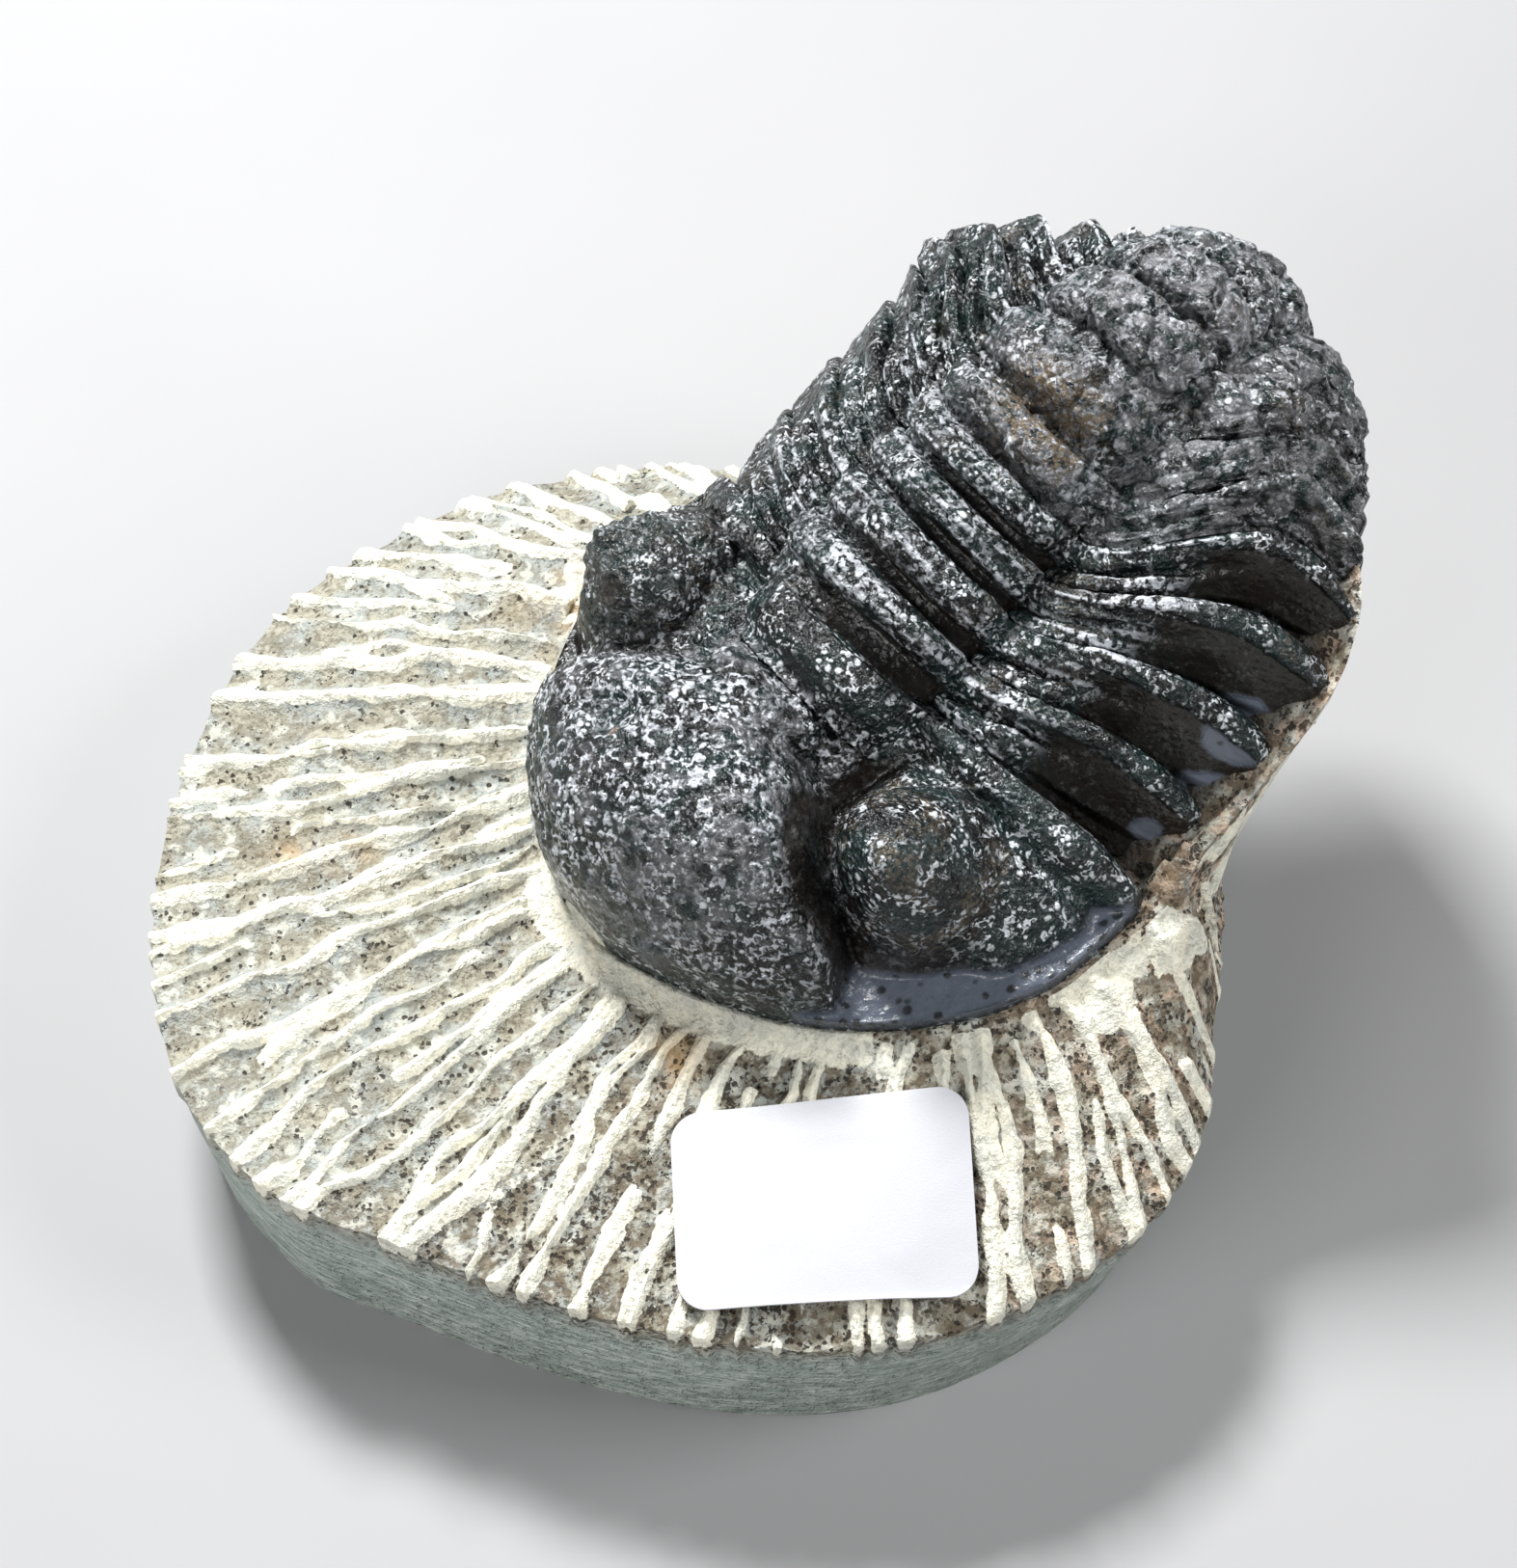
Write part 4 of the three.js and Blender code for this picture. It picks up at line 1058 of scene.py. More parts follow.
    def build(self, grain: Grain, material: bpy.types.Material) -> bpy.types.Object:
        """Make the block.

        Args:
            grain: Random texture for its ridges, its roughness and its stains.
            material: Finish of the stone.

        Returns:
            The finished piece.
        """
        angle, rim, base = self.rim_and_base()
        fossil, fossil_z = self.reach(self.outline(), angle)
        raised = smoothstep(fossil_z, self.wall_from, self.wall_full)
        degrees = np.degrees(angle)
        ledge = flowing(self.ledge, np.where(degrees > 300, degrees - 360, degrees))
        seat, seat_z = fossil + ledge, fossil_z + np.minimum(0.4, ledge)
        wall_foot = np.minimum(seat + 1.5, rim - self.foot_inset)
        foot = np.minimum(lerp(seat + self.gutter_width, wall_foot, raised), rim - self.foot_inset)
        foot_z = lerp(seat_z - self.gutter_depth, self.foot_height, raised)
        band = smoothstep(degrees, self.band_from - 6, self.band_from + 6)
        band = band * (1 - smoothstep(degrees, self.band_to - 5, self.band_to + 5))

        inner = np.linspace(0.02, 1, 8)[:, None]
        fill = np.linspace(0, 1, 8)[1:, None]
        rise = np.linspace(0, 1, 15)[1:, None]
        mound = np.linspace(0, 1, 74)[1:, None]
        wall = np.concatenate([[0.012, 0.03, 0.06, 0.1], np.linspace(0.17, 1, 9)])[:, None]
        start = np.minimum(fossil - 1.2, seat - 1.0)
        radius = np.concatenate([
            start * inner,
            lerp(start, seat, fill),
            lerp(seat, foot, rise),
            lerp(foot, rim, mound),
            lerp(rim, base, wall),
        ])
        gutter = seat_z - (seat_z - foot_z) * np.sin(rise * np.pi / 2)
        slope = lerp(seat_z, foot_z, rise**0.9)
        height = np.concatenate([
            0 * start * inner,
            0 * start * fill,
            lerp(gutter, slope, raised),
            lerp(self.rim_height, foot_z, 1 - mound**1.25),
            (self.rim_height - self.rim_drop) * (1 - wall) + 0 * rim,
        ])
        under = len(inner) + len(fill)
        turned = np.broadcast_to(angle, radius.shape)
        points = np.stack([
            self.centre[0] + radius * np.cos(turned),
            self.centre[1] + radius * np.sin(turned),
            height,
        ], -1)
        seat_floor = self.seat_floor(points[:under])
        contact = fossil_z + lerp(0.3, -0.3, raised) - 0.6
        low = np.minimum(fossil, seat) - 0.8
        reach = smoothstep(radius[:under], low, np.maximum(seat, low + 0.1))
        edge_height = lerp(contact, seat_z, reach)
        near = radius[:under] >= start - 0.01
        points[:under, :, 2] = np.where(near, np.maximum(seat_floor, edge_height), seat_floor)

        row_of = np.arange(len(radius))
        first_mound = under + len(rise)
        last_mound = first_mound + len(mound)
        crest, trough = self.chisel_marks(turned, radius, grain)
        smooth_band = band * (1 - smoothstep(radius - seat, 1.2, 2.8))
        on_top = np.zeros(radius.shape)
        on_top[under:last_mound] = smoothstep(radius[under:last_mound] - seat, 0.0, 0.9)
        on_top[last_mound:last_mound + 4] = np.array([0.9, 0.7, 0.4, 0.15])[:, None]
        on_top = on_top * (1 - smooth_band)
        texture = grain.rough(points, 2.0, 4)
        gouge = grain.rough(points, np.array([4.0, 4.0, 9.0]), 3)
        sheer = np.zeros(radius.shape)
        sheer[under:first_mound] = raised
        hollow = 1 - crest
        relief = self.ridge_height * (0.3 * crest + 0.45 - 1.15 * trough) * on_top
        relief += (0.14 + 0.3 * hollow * on_top) * texture + 0.3 * gouge * hollow * on_top
        relief += self.gouge_height * gouge * sheer
        outward = relief * sheer
        points[..., 0] += outward * np.cos(turned)
        points[..., 1] += outward * np.sin(turned)
        body = (row_of >= under)[:, None] & (row_of < last_mound + 3)[:, None]
        points[..., 2] += np.where(body, relief * (1 - 0.8 * sheer), 0)
        bulge = np.zeros(radius.shape)
        bulge[last_mound - 4:last_mound + 5] = np.linspace(0.1, 0.5, 9)[:, None]
        bulge = bulge * (crest - 0.5)
        bulge[last_mound:] += np.linspace(0.14, 0.05, len(wall))[:, None] * texture[last_mound:]
        points[..., 0] += bulge * np.cos(turned)
        points[..., 1] += bulge * np.sin(turned)
        points[-1, :, 2] = 0

        masks = self.stains(points, grain)
        on_wall = smoothstep(row_of, last_mound + 2, last_mound + 5)[:, None]
        # Painted shade: the stone under the fossil, inside its seat, is coloured near black as the
        # shade beneath it.
        under_shade = 1 - smoothstep(row_of, under - 9, under - 6)[:, None]
        climbed = points[..., 2] - self.rim_height + 2.5 * gouge + texture
        chalky = self.chalk * body * smoothstep(climbed, self.chalk_low, self.chalk_high)
        chalky = chalky * smoothstep(texture + gouge, -0.35, 0.1)
        masks["crest"] = np.maximum(np.maximum(crest * on_top, smooth_band * 0.9), chalky)
        masks["trough"] = trough * on_top
        masks["wall"] = np.broadcast_to(on_wall, radius.shape)
        masks["under_shade"] = np.broadcast_to(under_shade, radius.shape)
        return Loft("limestone_block", points, masks, sharp_angle=70).to_object(material)

    def seat_floor(self, points: Array) -> Array:
        """Height of the solid block under the fossil, read straight down."""
        tree = solid_tree("matrix")
        shift = np.array([*BLOCK_MIDDLE, 0])
        flat = (points.reshape(-1, 3) + shift) * MM
        down = Vector((0, 0, -1))
        heights = []
        for x, y, _ in flat:
            hit = tree.ray_cast(Vector((x, y, 0.1)), down)[0]
            heights.append(hit.z / MM if hit else 0.0)
        return np.array(heights).reshape(points.shape[:-1]) - 0.1

    def stains(self, points: Array, grain: Grain) -> dict[str, Array]:
        """Where the stone is rusty, where it is warm and where its hollows are grimy.

        Args:
            points: Points of the block.
            grain: Random texture for the stains' edges.

        Returns:
            Masks by name.
        """
        x, y = points[..., 0], points[..., 1]
        patches = grain.rough(points, 3.0, 4)
        rust = np.zeros(x.shape)
        for spot_x, spot_y, spread in self.stain_spots:
            rust = np.maximum(rust, np.exp(-(((x - spot_x) ** 2 + (y - spot_y) ** 2) / spread**2)))
        ragged = 7 * patches
        return {
            "rust": rust * smoothstep(patches, -0.3, 0.25),
            "warm": smoothstep(x + ragged, 10, 34),
            "grime": smoothstep(x - 1.1 * y + ragged, -14, 26),
        }


@dataclass
class Sticker:
    """The blank paper label on the front of the block."""

    middle: tuple[float, float] = (9.5, -26.1)
    length: float = 20.6
    width: float = 14.0
    thickness: float = 0.14
    corner: float = 2.2
    turn: float = 3.0
    drop: float = 0.25
    inset: float = 0.97
    smoothings: int = 6
    wave_height: float = 0.08
    wave_size: float = 6.0
    columns: int = 96
    rows: int = 66

    def sheet(self) -> tuple[Array, Array]:
        """Places along and across the paper, with rounded corners."""
        half_length, half_width = self.length / 2, self.width / 2
        lengthwise = np.linspace(-half_length, half_length, self.columns)
        crosswise = np.linspace(-half_width, half_width, self.rows)
        x, y = np.meshgrid(lengthwise, crosswise, indexing="ij")
        inner_x, inner_y = half_length - self.corner, half_width - self.corner
        over_x = np.clip((np.abs(x) - inner_x) / self.corner, 0, 1)
        over_y = np.clip((np.abs(y) - inner_y) / self.corner, 0, 1)
        round_x = inner_x + self.corner * over_x * np.sqrt(1 - over_y**2 / 2)
        round_y = inner_y + self.corner * over_y * np.sqrt(1 - over_x**2 / 2)
        in_corner = (over_x > 0) & (over_y > 0)
        x = np.where(in_corner, np.sign(x) * round_x, x)
        y = np.where(in_corner, np.sign(y) * round_y, y)
        return x, y

    def build(self, grain: Grain, material: bpy.types.Material) -> bpy.types.Object:
        """Make the label.

        Args:
            grain: Random texture for its waves.
            material: Finish of the paper.

        Returns:
            The finished piece.
        """
        u, v = self.sheet()
        turn = math.radians(self.turn)
        x = self.middle[0] + u * math.cos(turn) - v * math.sin(turn)
        y = self.middle[1] + u * math.sin(turn) + v * math.cos(turn)
        low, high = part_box("label")
        tree = solid_tree("label")
        shift = np.array(BLOCK_MIDDLE)
        heights = []
        for place_x, place_y in zip(x.ravel(), y.ravel()):
            inward_x = lerp(self.middle[0], place_x, self.inset) + shift[0]
            inward_y = lerp(self.middle[1], place_y, self.inset) + shift[1]
            above = Vector((inward_x * MM, inward_y * MM, high.z + 10 * MM))
            hit = tree.ray_cast(above, Vector((0, 0, -1)))[0]
            heights.append(hit.z / MM if hit else (low.z + high.z) / 2 / MM)
        lift = np.array(heights).reshape(x.shape)
        for _ in range(self.smoothings):
            wide = np.pad(lift, 1, mode="edge")
            lift = (wide[:-2, 1:-1] + wide[2:, 1:-1] + wide[1:-1, :-2] + wide[1:-1, 2:]) / 4
        flat = np.stack([x, y, 0 * x], -1)
        lift = lift - self.drop + self.wave_height * grain.soft(flat, self.wave_size)
        top = np.stack([x, y, lift], -1)
        under = top - np.array([0, 0, self.thickness])
        rings = np.concatenate([top, under[:, ::-1]], axis=1)
        return Loft("paper_label", rings).to_object(material)


class Wiring:
    """A node tree that is being wired up, with short calls for its usual nodes."""

    def __init__(self, tree: bpy.types.NodeTree) -> None:
        """Start on an empty tree."""
        self.tree = tree
        tree.nodes.clear()

    def add(self, kind: str, **inputs: object) -> bpy.types.Node:
        """Add a node and fill or link its inputs.

        Args:
            kind: Type name of the node.
            inputs: Values or sockets by input name, with _ for each space.

        Returns:
            The new node.
        """
        node = self.tree.nodes.new(kind)
        for name, value in inputs.items():
            self.feed(node.inputs[name.replace("_", " ")], value)
        return node

    def feed(self, socket: bpy.types.NodeSocket, value: object) -> None:
        """Set a socket's value, or link another socket to it."""
        if isinstance(value, bpy.types.NodeSocket):
            self.tree.links.new(value, socket)
        else:
            socket.default_value = value

    def math(self, operation: str, a: object, b: object = 0.0) -> bpy.types.NodeSocket:
        """Result of a calculation with two numbers."""
        node = self.tree.nodes.new("ShaderNodeMath")
        node.operation = operation
        self.feed(node.inputs[0], a)
        self.feed(node.inputs[1], b)
        return node.outputs[0]

    def rise(self, value: object, low: float, high: float) -> bpy.types.NodeSocket:
        """A smooth rise from 0 at low to 1 at high."""
        node = self.tree.nodes.new("ShaderNodeMapRange")
        node.interpolation_type = "SMOOTHSTEP"
        self.feed(node.inputs["Value"], value)
        node.inputs["From Min"].default_value = low
        node.inputs["From Max"].default_value = high
        return node.outputs["Result"]

    def mix(self, share: object, a: object, b: object, style: str = "MIX") -> bpy.types.NodeSocket:
        """Colour between two colours."""
        node = self.tree.nodes.new("ShaderNodeMix")
        node.data_type = "RGBA"
        node.blend_type = style
        self.feed(node.inputs[0], share)
        self.feed(node.inputs[6], a)
        self.feed(node.inputs[7], b)
        return node.outputs[2]

    def mask(self, name: str) -> bpy.types.NodeSocket:
        """A mask that the mesh carries."""
        node = self.tree.nodes.new("ShaderNodeAttribute")
        node.attribute_type = "GEOMETRY"
        node.attribute_name = name
        return node.outputs["Fac"]

    def noise(
        self, vector: object, size: float, detail: float = 3.0, rough: float = 0.55
    ) -> bpy.types.NodeSocket:
        """Soft noise with features of a size in millimetres.

        Args:
            vector: Where to read the noise.
            size: Size of its features in millimetres.
            detail: How many finer layers it has.
            rough: How strong the finer layers are.

        Returns:
            The noise, from 0 to 1.
        """
        node = self.tree.nodes.new("ShaderNodeTexNoise")
        self.feed(node.inputs["Vector"], vector)
        node.inputs["Scale"].default_value = 1 / (size * MM)
        node.inputs["Detail"].default_value = detail
        node.inputs["Roughness"].default_value = rough
        return node.outputs["Fac"]

    def place(self) -> bpy.types.NodeSocket:
        """Place in the frame, in metres."""
        return self.tree.nodes.new("ShaderNodeTexCoord").outputs["Object"]


def new_group(
    name: str, inputs: dict[str, tuple[str, object]], outputs: tuple[str, ...]
) -> tuple[Wiring, bpy.types.Node, bpy.types.Node]:
    """Start a node group with named sockets.

    Args:
        name: Name of the group.
        inputs: Type and start value by input name.
        outputs: Names of the number outputs.

    Returns:
        The wiring, the node with the inputs and the node with the outputs.
    """
    tree = bpy.data.node_groups.new(name, "ShaderNodeTree")
    wiring = Wiring(tree)
    for socket, (kind, value) in inputs.items():
        made = tree.interface.new_socket(name=socket, in_out="INPUT", socket_type=kind)
        if value is not None:
            made.default_value = value
    for socket in outputs:
        tree.interface.new_socket(name=socket, in_out="OUTPUT", socket_type="NodeSocketFloat")
    return wiring, tree.nodes.new("NodeGroupInput"), tree.nodes.new("NodeGroupOutput")


@dataclass
class Effects:
    """Shader node groups that more than one finish uses."""

    grains: bpy.types.NodeTree = field(init=False)
    patches: bpy.types.NodeTree = field(init=False)

    def __post_init__(self) -> None:
        """Make both groups once."""
        self.grains = self.make_grains()
        self.patches = self.make_patches()

    @staticmethod
    def make_grains() -> bpy.types.NodeTree:
        """Scattered grains: their height, and a mask of the few that stand out."""
        wiring, start, end = new_group(
            "scattered_grains",
            {
                "Place": ("NodeSocketVector", None),
                "Scale": ("NodeSocketFloat", 1000.0),
                "Chosen": ("NodeSocketFloat", 0.2),
            },
            ("Height", "Mask"),
        )
        ends = start.outputs
        place, scale = ends["Place"], ends["Scale"]
        warp = wiring.add("ShaderNodeTexNoise", Vector=place, Scale=scale, Detail=2.0)
        bent = wiring.add("ShaderNodeVectorMath")
        bent.operation = "MULTIPLY_ADD"
        wiring.feed(bent.inputs[0], warp.outputs["Color"])
        bent.inputs[1].default_value = (0.4 * MM,) * 3
        wiring.feed(bent.inputs[2], place)
        cell = wiring.add("ShaderNodeTexVoronoi", Vector=bent.outputs[0], Scale=scale)
        split = wiring.add("ShaderNodeSeparateColor", Color=cell.outputs["Color"])
        chosen = wiring.math("LESS_THAN", split.outputs[0], ends["Chosen"])
        near = wiring.rise(cell.outputs["Distance"], 0.5, 0.25)
        wiring.feed(end.inputs["Height"], wiring.rise(cell.outputs["Distance"], 0.65, 0.0))
        wiring.feed(end.inputs["Mask"], wiring.math("MULTIPLY", chosen, near))
        return wiring.tree

    @staticmethod
    def make_patches() -> bpy.types.NodeTree:
        """Cloudy patches with soft edges."""
        wiring, start, end = new_group(
            "cloudy_patches",
            {
                "Place": ("NodeSocketVector", None),
                "Scale": ("NodeSocketFloat", 200.0),
                "Low": ("NodeSocketFloat", 0.45),
                "High": ("NodeSocketFloat", 0.6),
            },
            ("Mask",),
        )
        ends = start.outputs
        place, scale = ends["Place"], ends["Scale"]
        cloud = wiring.add("ShaderNodeTexNoise", Vector=place, Scale=scale, Detail=5.0)
        span = wiring.tree.nodes.new("ShaderNodeMapRange")
        wiring.feed(span.inputs["Value"], cloud.outputs["Fac"])
        wiring.feed(span.inputs["From Min"], ends["Low"])
        wiring.feed(span.inputs["From Max"], ends["High"])
        wiring.feed(end.inputs["Mask"], span.outputs["Result"])
        return wiring.tree

    def use(
        self, wiring: Wiring, tree: bpy.types.NodeTree, size: float, **inputs: object
    ) -> bpy.types.Node:
        """Place a group in a material.

        Args:
            wiring: The material's wiring.
            tree: The group.
            size: Size of its features in millimetres.
            inputs: Other inputs by name.

        Returns:
            The group's node.
        """
        node = wiring.tree.nodes.new("ShaderNodeGroup")
        node.node_tree = tree
        wiring.feed(node.inputs["Place"], wiring.place())
        node.inputs["Scale"].default_value = 1 / (size * MM)
        for name, value in inputs.items():
            wiring.feed(node.inputs[name], value)
        return node


def new_material(name: str) -> tuple[bpy.types.Material, Wiring]:
    """Start a material with an empty node tree."""
    material = bpy.data.materials.new(name)
    material.use_nodes = True
    return material, Wiring(material.node_tree)


def finish_material(wiring: Wiring, colour: object, roughness: object, normal: object) -> None:
    """Add the shader and the output.

    Args:
        wiring: The material's wiring.
        colour: Base colour.
        roughness: Roughness.
        normal: Normal.
    """
    shader = wiring.add("ShaderNodeBsdfPrincipled", Base_Color=colour, Roughness=roughness)
    wiring.feed(shader.inputs["Normal"], normal)
    wiring.add("ShaderNodeOutputMaterial", Surface=shader.outputs["BSDF"])


@dataclass(frozen=True)
class LimestoneFinish:
    """Pale limestone, chiselled and dirty in its hollows, with painted shade in their deepest parts
    and in its pits, and a grey ground wall.
    """

    crest: tuple[float, ...] = (0.83, 0.805, 0.665, 1)
    crest_grey: tuple[float, ...] = (0.66, 0.66, 0.575, 1)
    hollow: tuple[float, ...] = (0.38, 0.365, 0.29, 1)
    # Painted shade: darker colour for the bottoms of the hollows between the chisel ridges.
    deep: tuple[float, ...] = (0.185, 0.17, 0.125, 1)
    grey: tuple[float, ...] = (0.33, 0.355, 0.335, 1)
    warm: tuple[float, ...] = (0.50, 0.35, 0.25, 1)
    rust: tuple[float, ...] = (0.50, 0.31, 0.12, 1)
    dirt: tuple[float, ...] = (0.10, 0.07, 0.038, 1)
    # Near-black painted shade for the small pits.
    pit: tuple[float, ...] = (0.03, 0.022, 0.014, 1)
    wall: tuple[float, ...] = (0.24, 0.29, 0.265, 1)
    wall_pale: tuple[float, ...] = (0.56, 0.61, 0.56, 1)
    # Near-black painted shade for the stone under the fossil.
    under_shade_colour: tuple[float, ...] = (0.02, 0.018, 0.015, 1)

    def make(self, effects: Effects) -> bpy.types.Material:
        """Make the material."""
        material, w = new_material("chiselled_limestone")
        place = w.place()
        crest = w.mask("crest")
        grime = w.mask("grime")
        mottle = w.noise(place, 0.7, 3, 0.6)
        ragged = w.math("ADD", crest, w.math("MULTIPLY", w.math("SUBTRACT", mottle, 0.5), 0.9))
        on_crest = w.rise(ragged, 0.34, 0.52)
        cloud = effects.use(w, effects.patches, 3.2, Low=0.42, High=0.58).outputs["Mask"]
        hollow = w.mix(cloud, self.hollow, self.grey)
        blotch = effects.use(w, effects.patches, 1.7, Low=0.42, High=0.55).outputs["Mask"]
        warm = w.math("MULTIPLY", w.mask("warm"), blotch)
        hollow = w.mix(w.math("MULTIPLY", warm, 0.7), hollow, self.warm)
        uneven = w.math("MULTIPLY", w.math("SUBTRACT", mottle, 0.5), 1.3)
        sunk = w.math("ADD", w.mask("trough"), uneven)
        # Painted shade: the hollows darken towards their deepest parts, away from the ridges.
        hollow = w.mix(w.math("MULTIPLY", w.rise(sunk, 0.6, 0.95), 0.75), hollow, self.deep)
        dirty = w.math("MULTIPLY", grime, w.rise(w.noise(place, 1.0, 3), 0.45, 0.56))
        hollow = w.mix(w.math("MULTIPLY", dirty, 0.75), hollow, self.dirt)
        worn = w.mix(w.rise(w.noise(place, 2.4, 3), 0.42, 0.6), self.crest, self.crest_grey)
        colour = w.mix(on_crest, hollow, worn)
        fleck = w.rise(w.noise(place, 0.4, 2, 0.6), 0.52, 0.62)
        shade = w.math("SUBTRACT", 0.5, w.math("MULTIPLY", on_crest, 0.4))
        colour = w.mix(w.math("MULTIPLY", fleck, shade), colour, self.dirt)
        chips = w.noise(place, 1.6, 4, 0.65)
        colour = w.mix(w.math("MULTIPLY", w.rise(chips, 0.53, 0.62), 0.55), colour, self.crest_grey)
        colour = w.mix(w.math("MULTIPLY", w.mask("rust"), 0.5), colour, self.rust)
        chosen = w.math("ADD", 0.1, w.math("MULTIPLY", grime, 0.3))
        fine = effects.use(w, effects.grains, 0.45, Chosen=chosen)
        hole = w.math("ADD", w.noise(place, 0.75, 3, 0.7), w.math("MULTIPLY", grime, 0.05))
        pitted = w.math("MAXIMUM", w.rise(hole, 0.62, 0.66), fine.outputs["Mask"])
        many = effects.use(w, effects.patches, 2.3, Low=0.38, High=0.5).outputs["Mask"]
        bare = w.math("SUBTRACT", 1.0, w.math("MULTIPLY", on_crest, 0.8))
        pitted = w.math("MULTIPLY", w.math("MULTIPLY", pitted, many), bare)
        # Painted shade: the pits are coloured near black, fewer on the ridges.
        colour = w.mix(w.math("MULTIPLY", pitted, 0.95), colour, self.pit)
        wall = w.mask("wall")
        slanted, drawn_out = (0.0, 0.16, 0.0), (0.10, 0.10, 1.0)
        stretch = w.add("ShaderNodeMapping", Vector=place, Scale=drawn_out, Rotation=slanted)
        scratch = w.noise(stretch.outputs["Vector"], 0.24, 3, 0.7)
        wall_colour = w.mix(w.rise(scratch, 0.38, 0.62), self.wall, self.wall_pale)
        wall_colour = w.mix(w.math("MULTIPLY", cloud, 0.4), wall_colour, self.wall)
        colour = w.mix(wall, colour, wall_colour)
        # Painted shade under the fossil: near black over the inner rows of the seat.
        colour = w.mix(w.mask("under_shade"), colour, self.under_shade_colour)
        height = w.math("ADD", w.math("MULTIPLY", mottle, 0.2), w.math("MULTIPLY", chips, 0.7))
        height = w.math("SUBTRACT", height, w.math("MULTIPLY", pitted, 0.3))
        height = w.math("ADD", height, w.math("MULTIPLY", w.math("MULTIPLY", scratch, wall), 0.12))
        bump_node = w.add("ShaderNodeBump", Strength=1.0, Distance=MM, Height=height)
        finish_material(w, colour, 0.85, bump_node.outputs["Normal"])
        return material


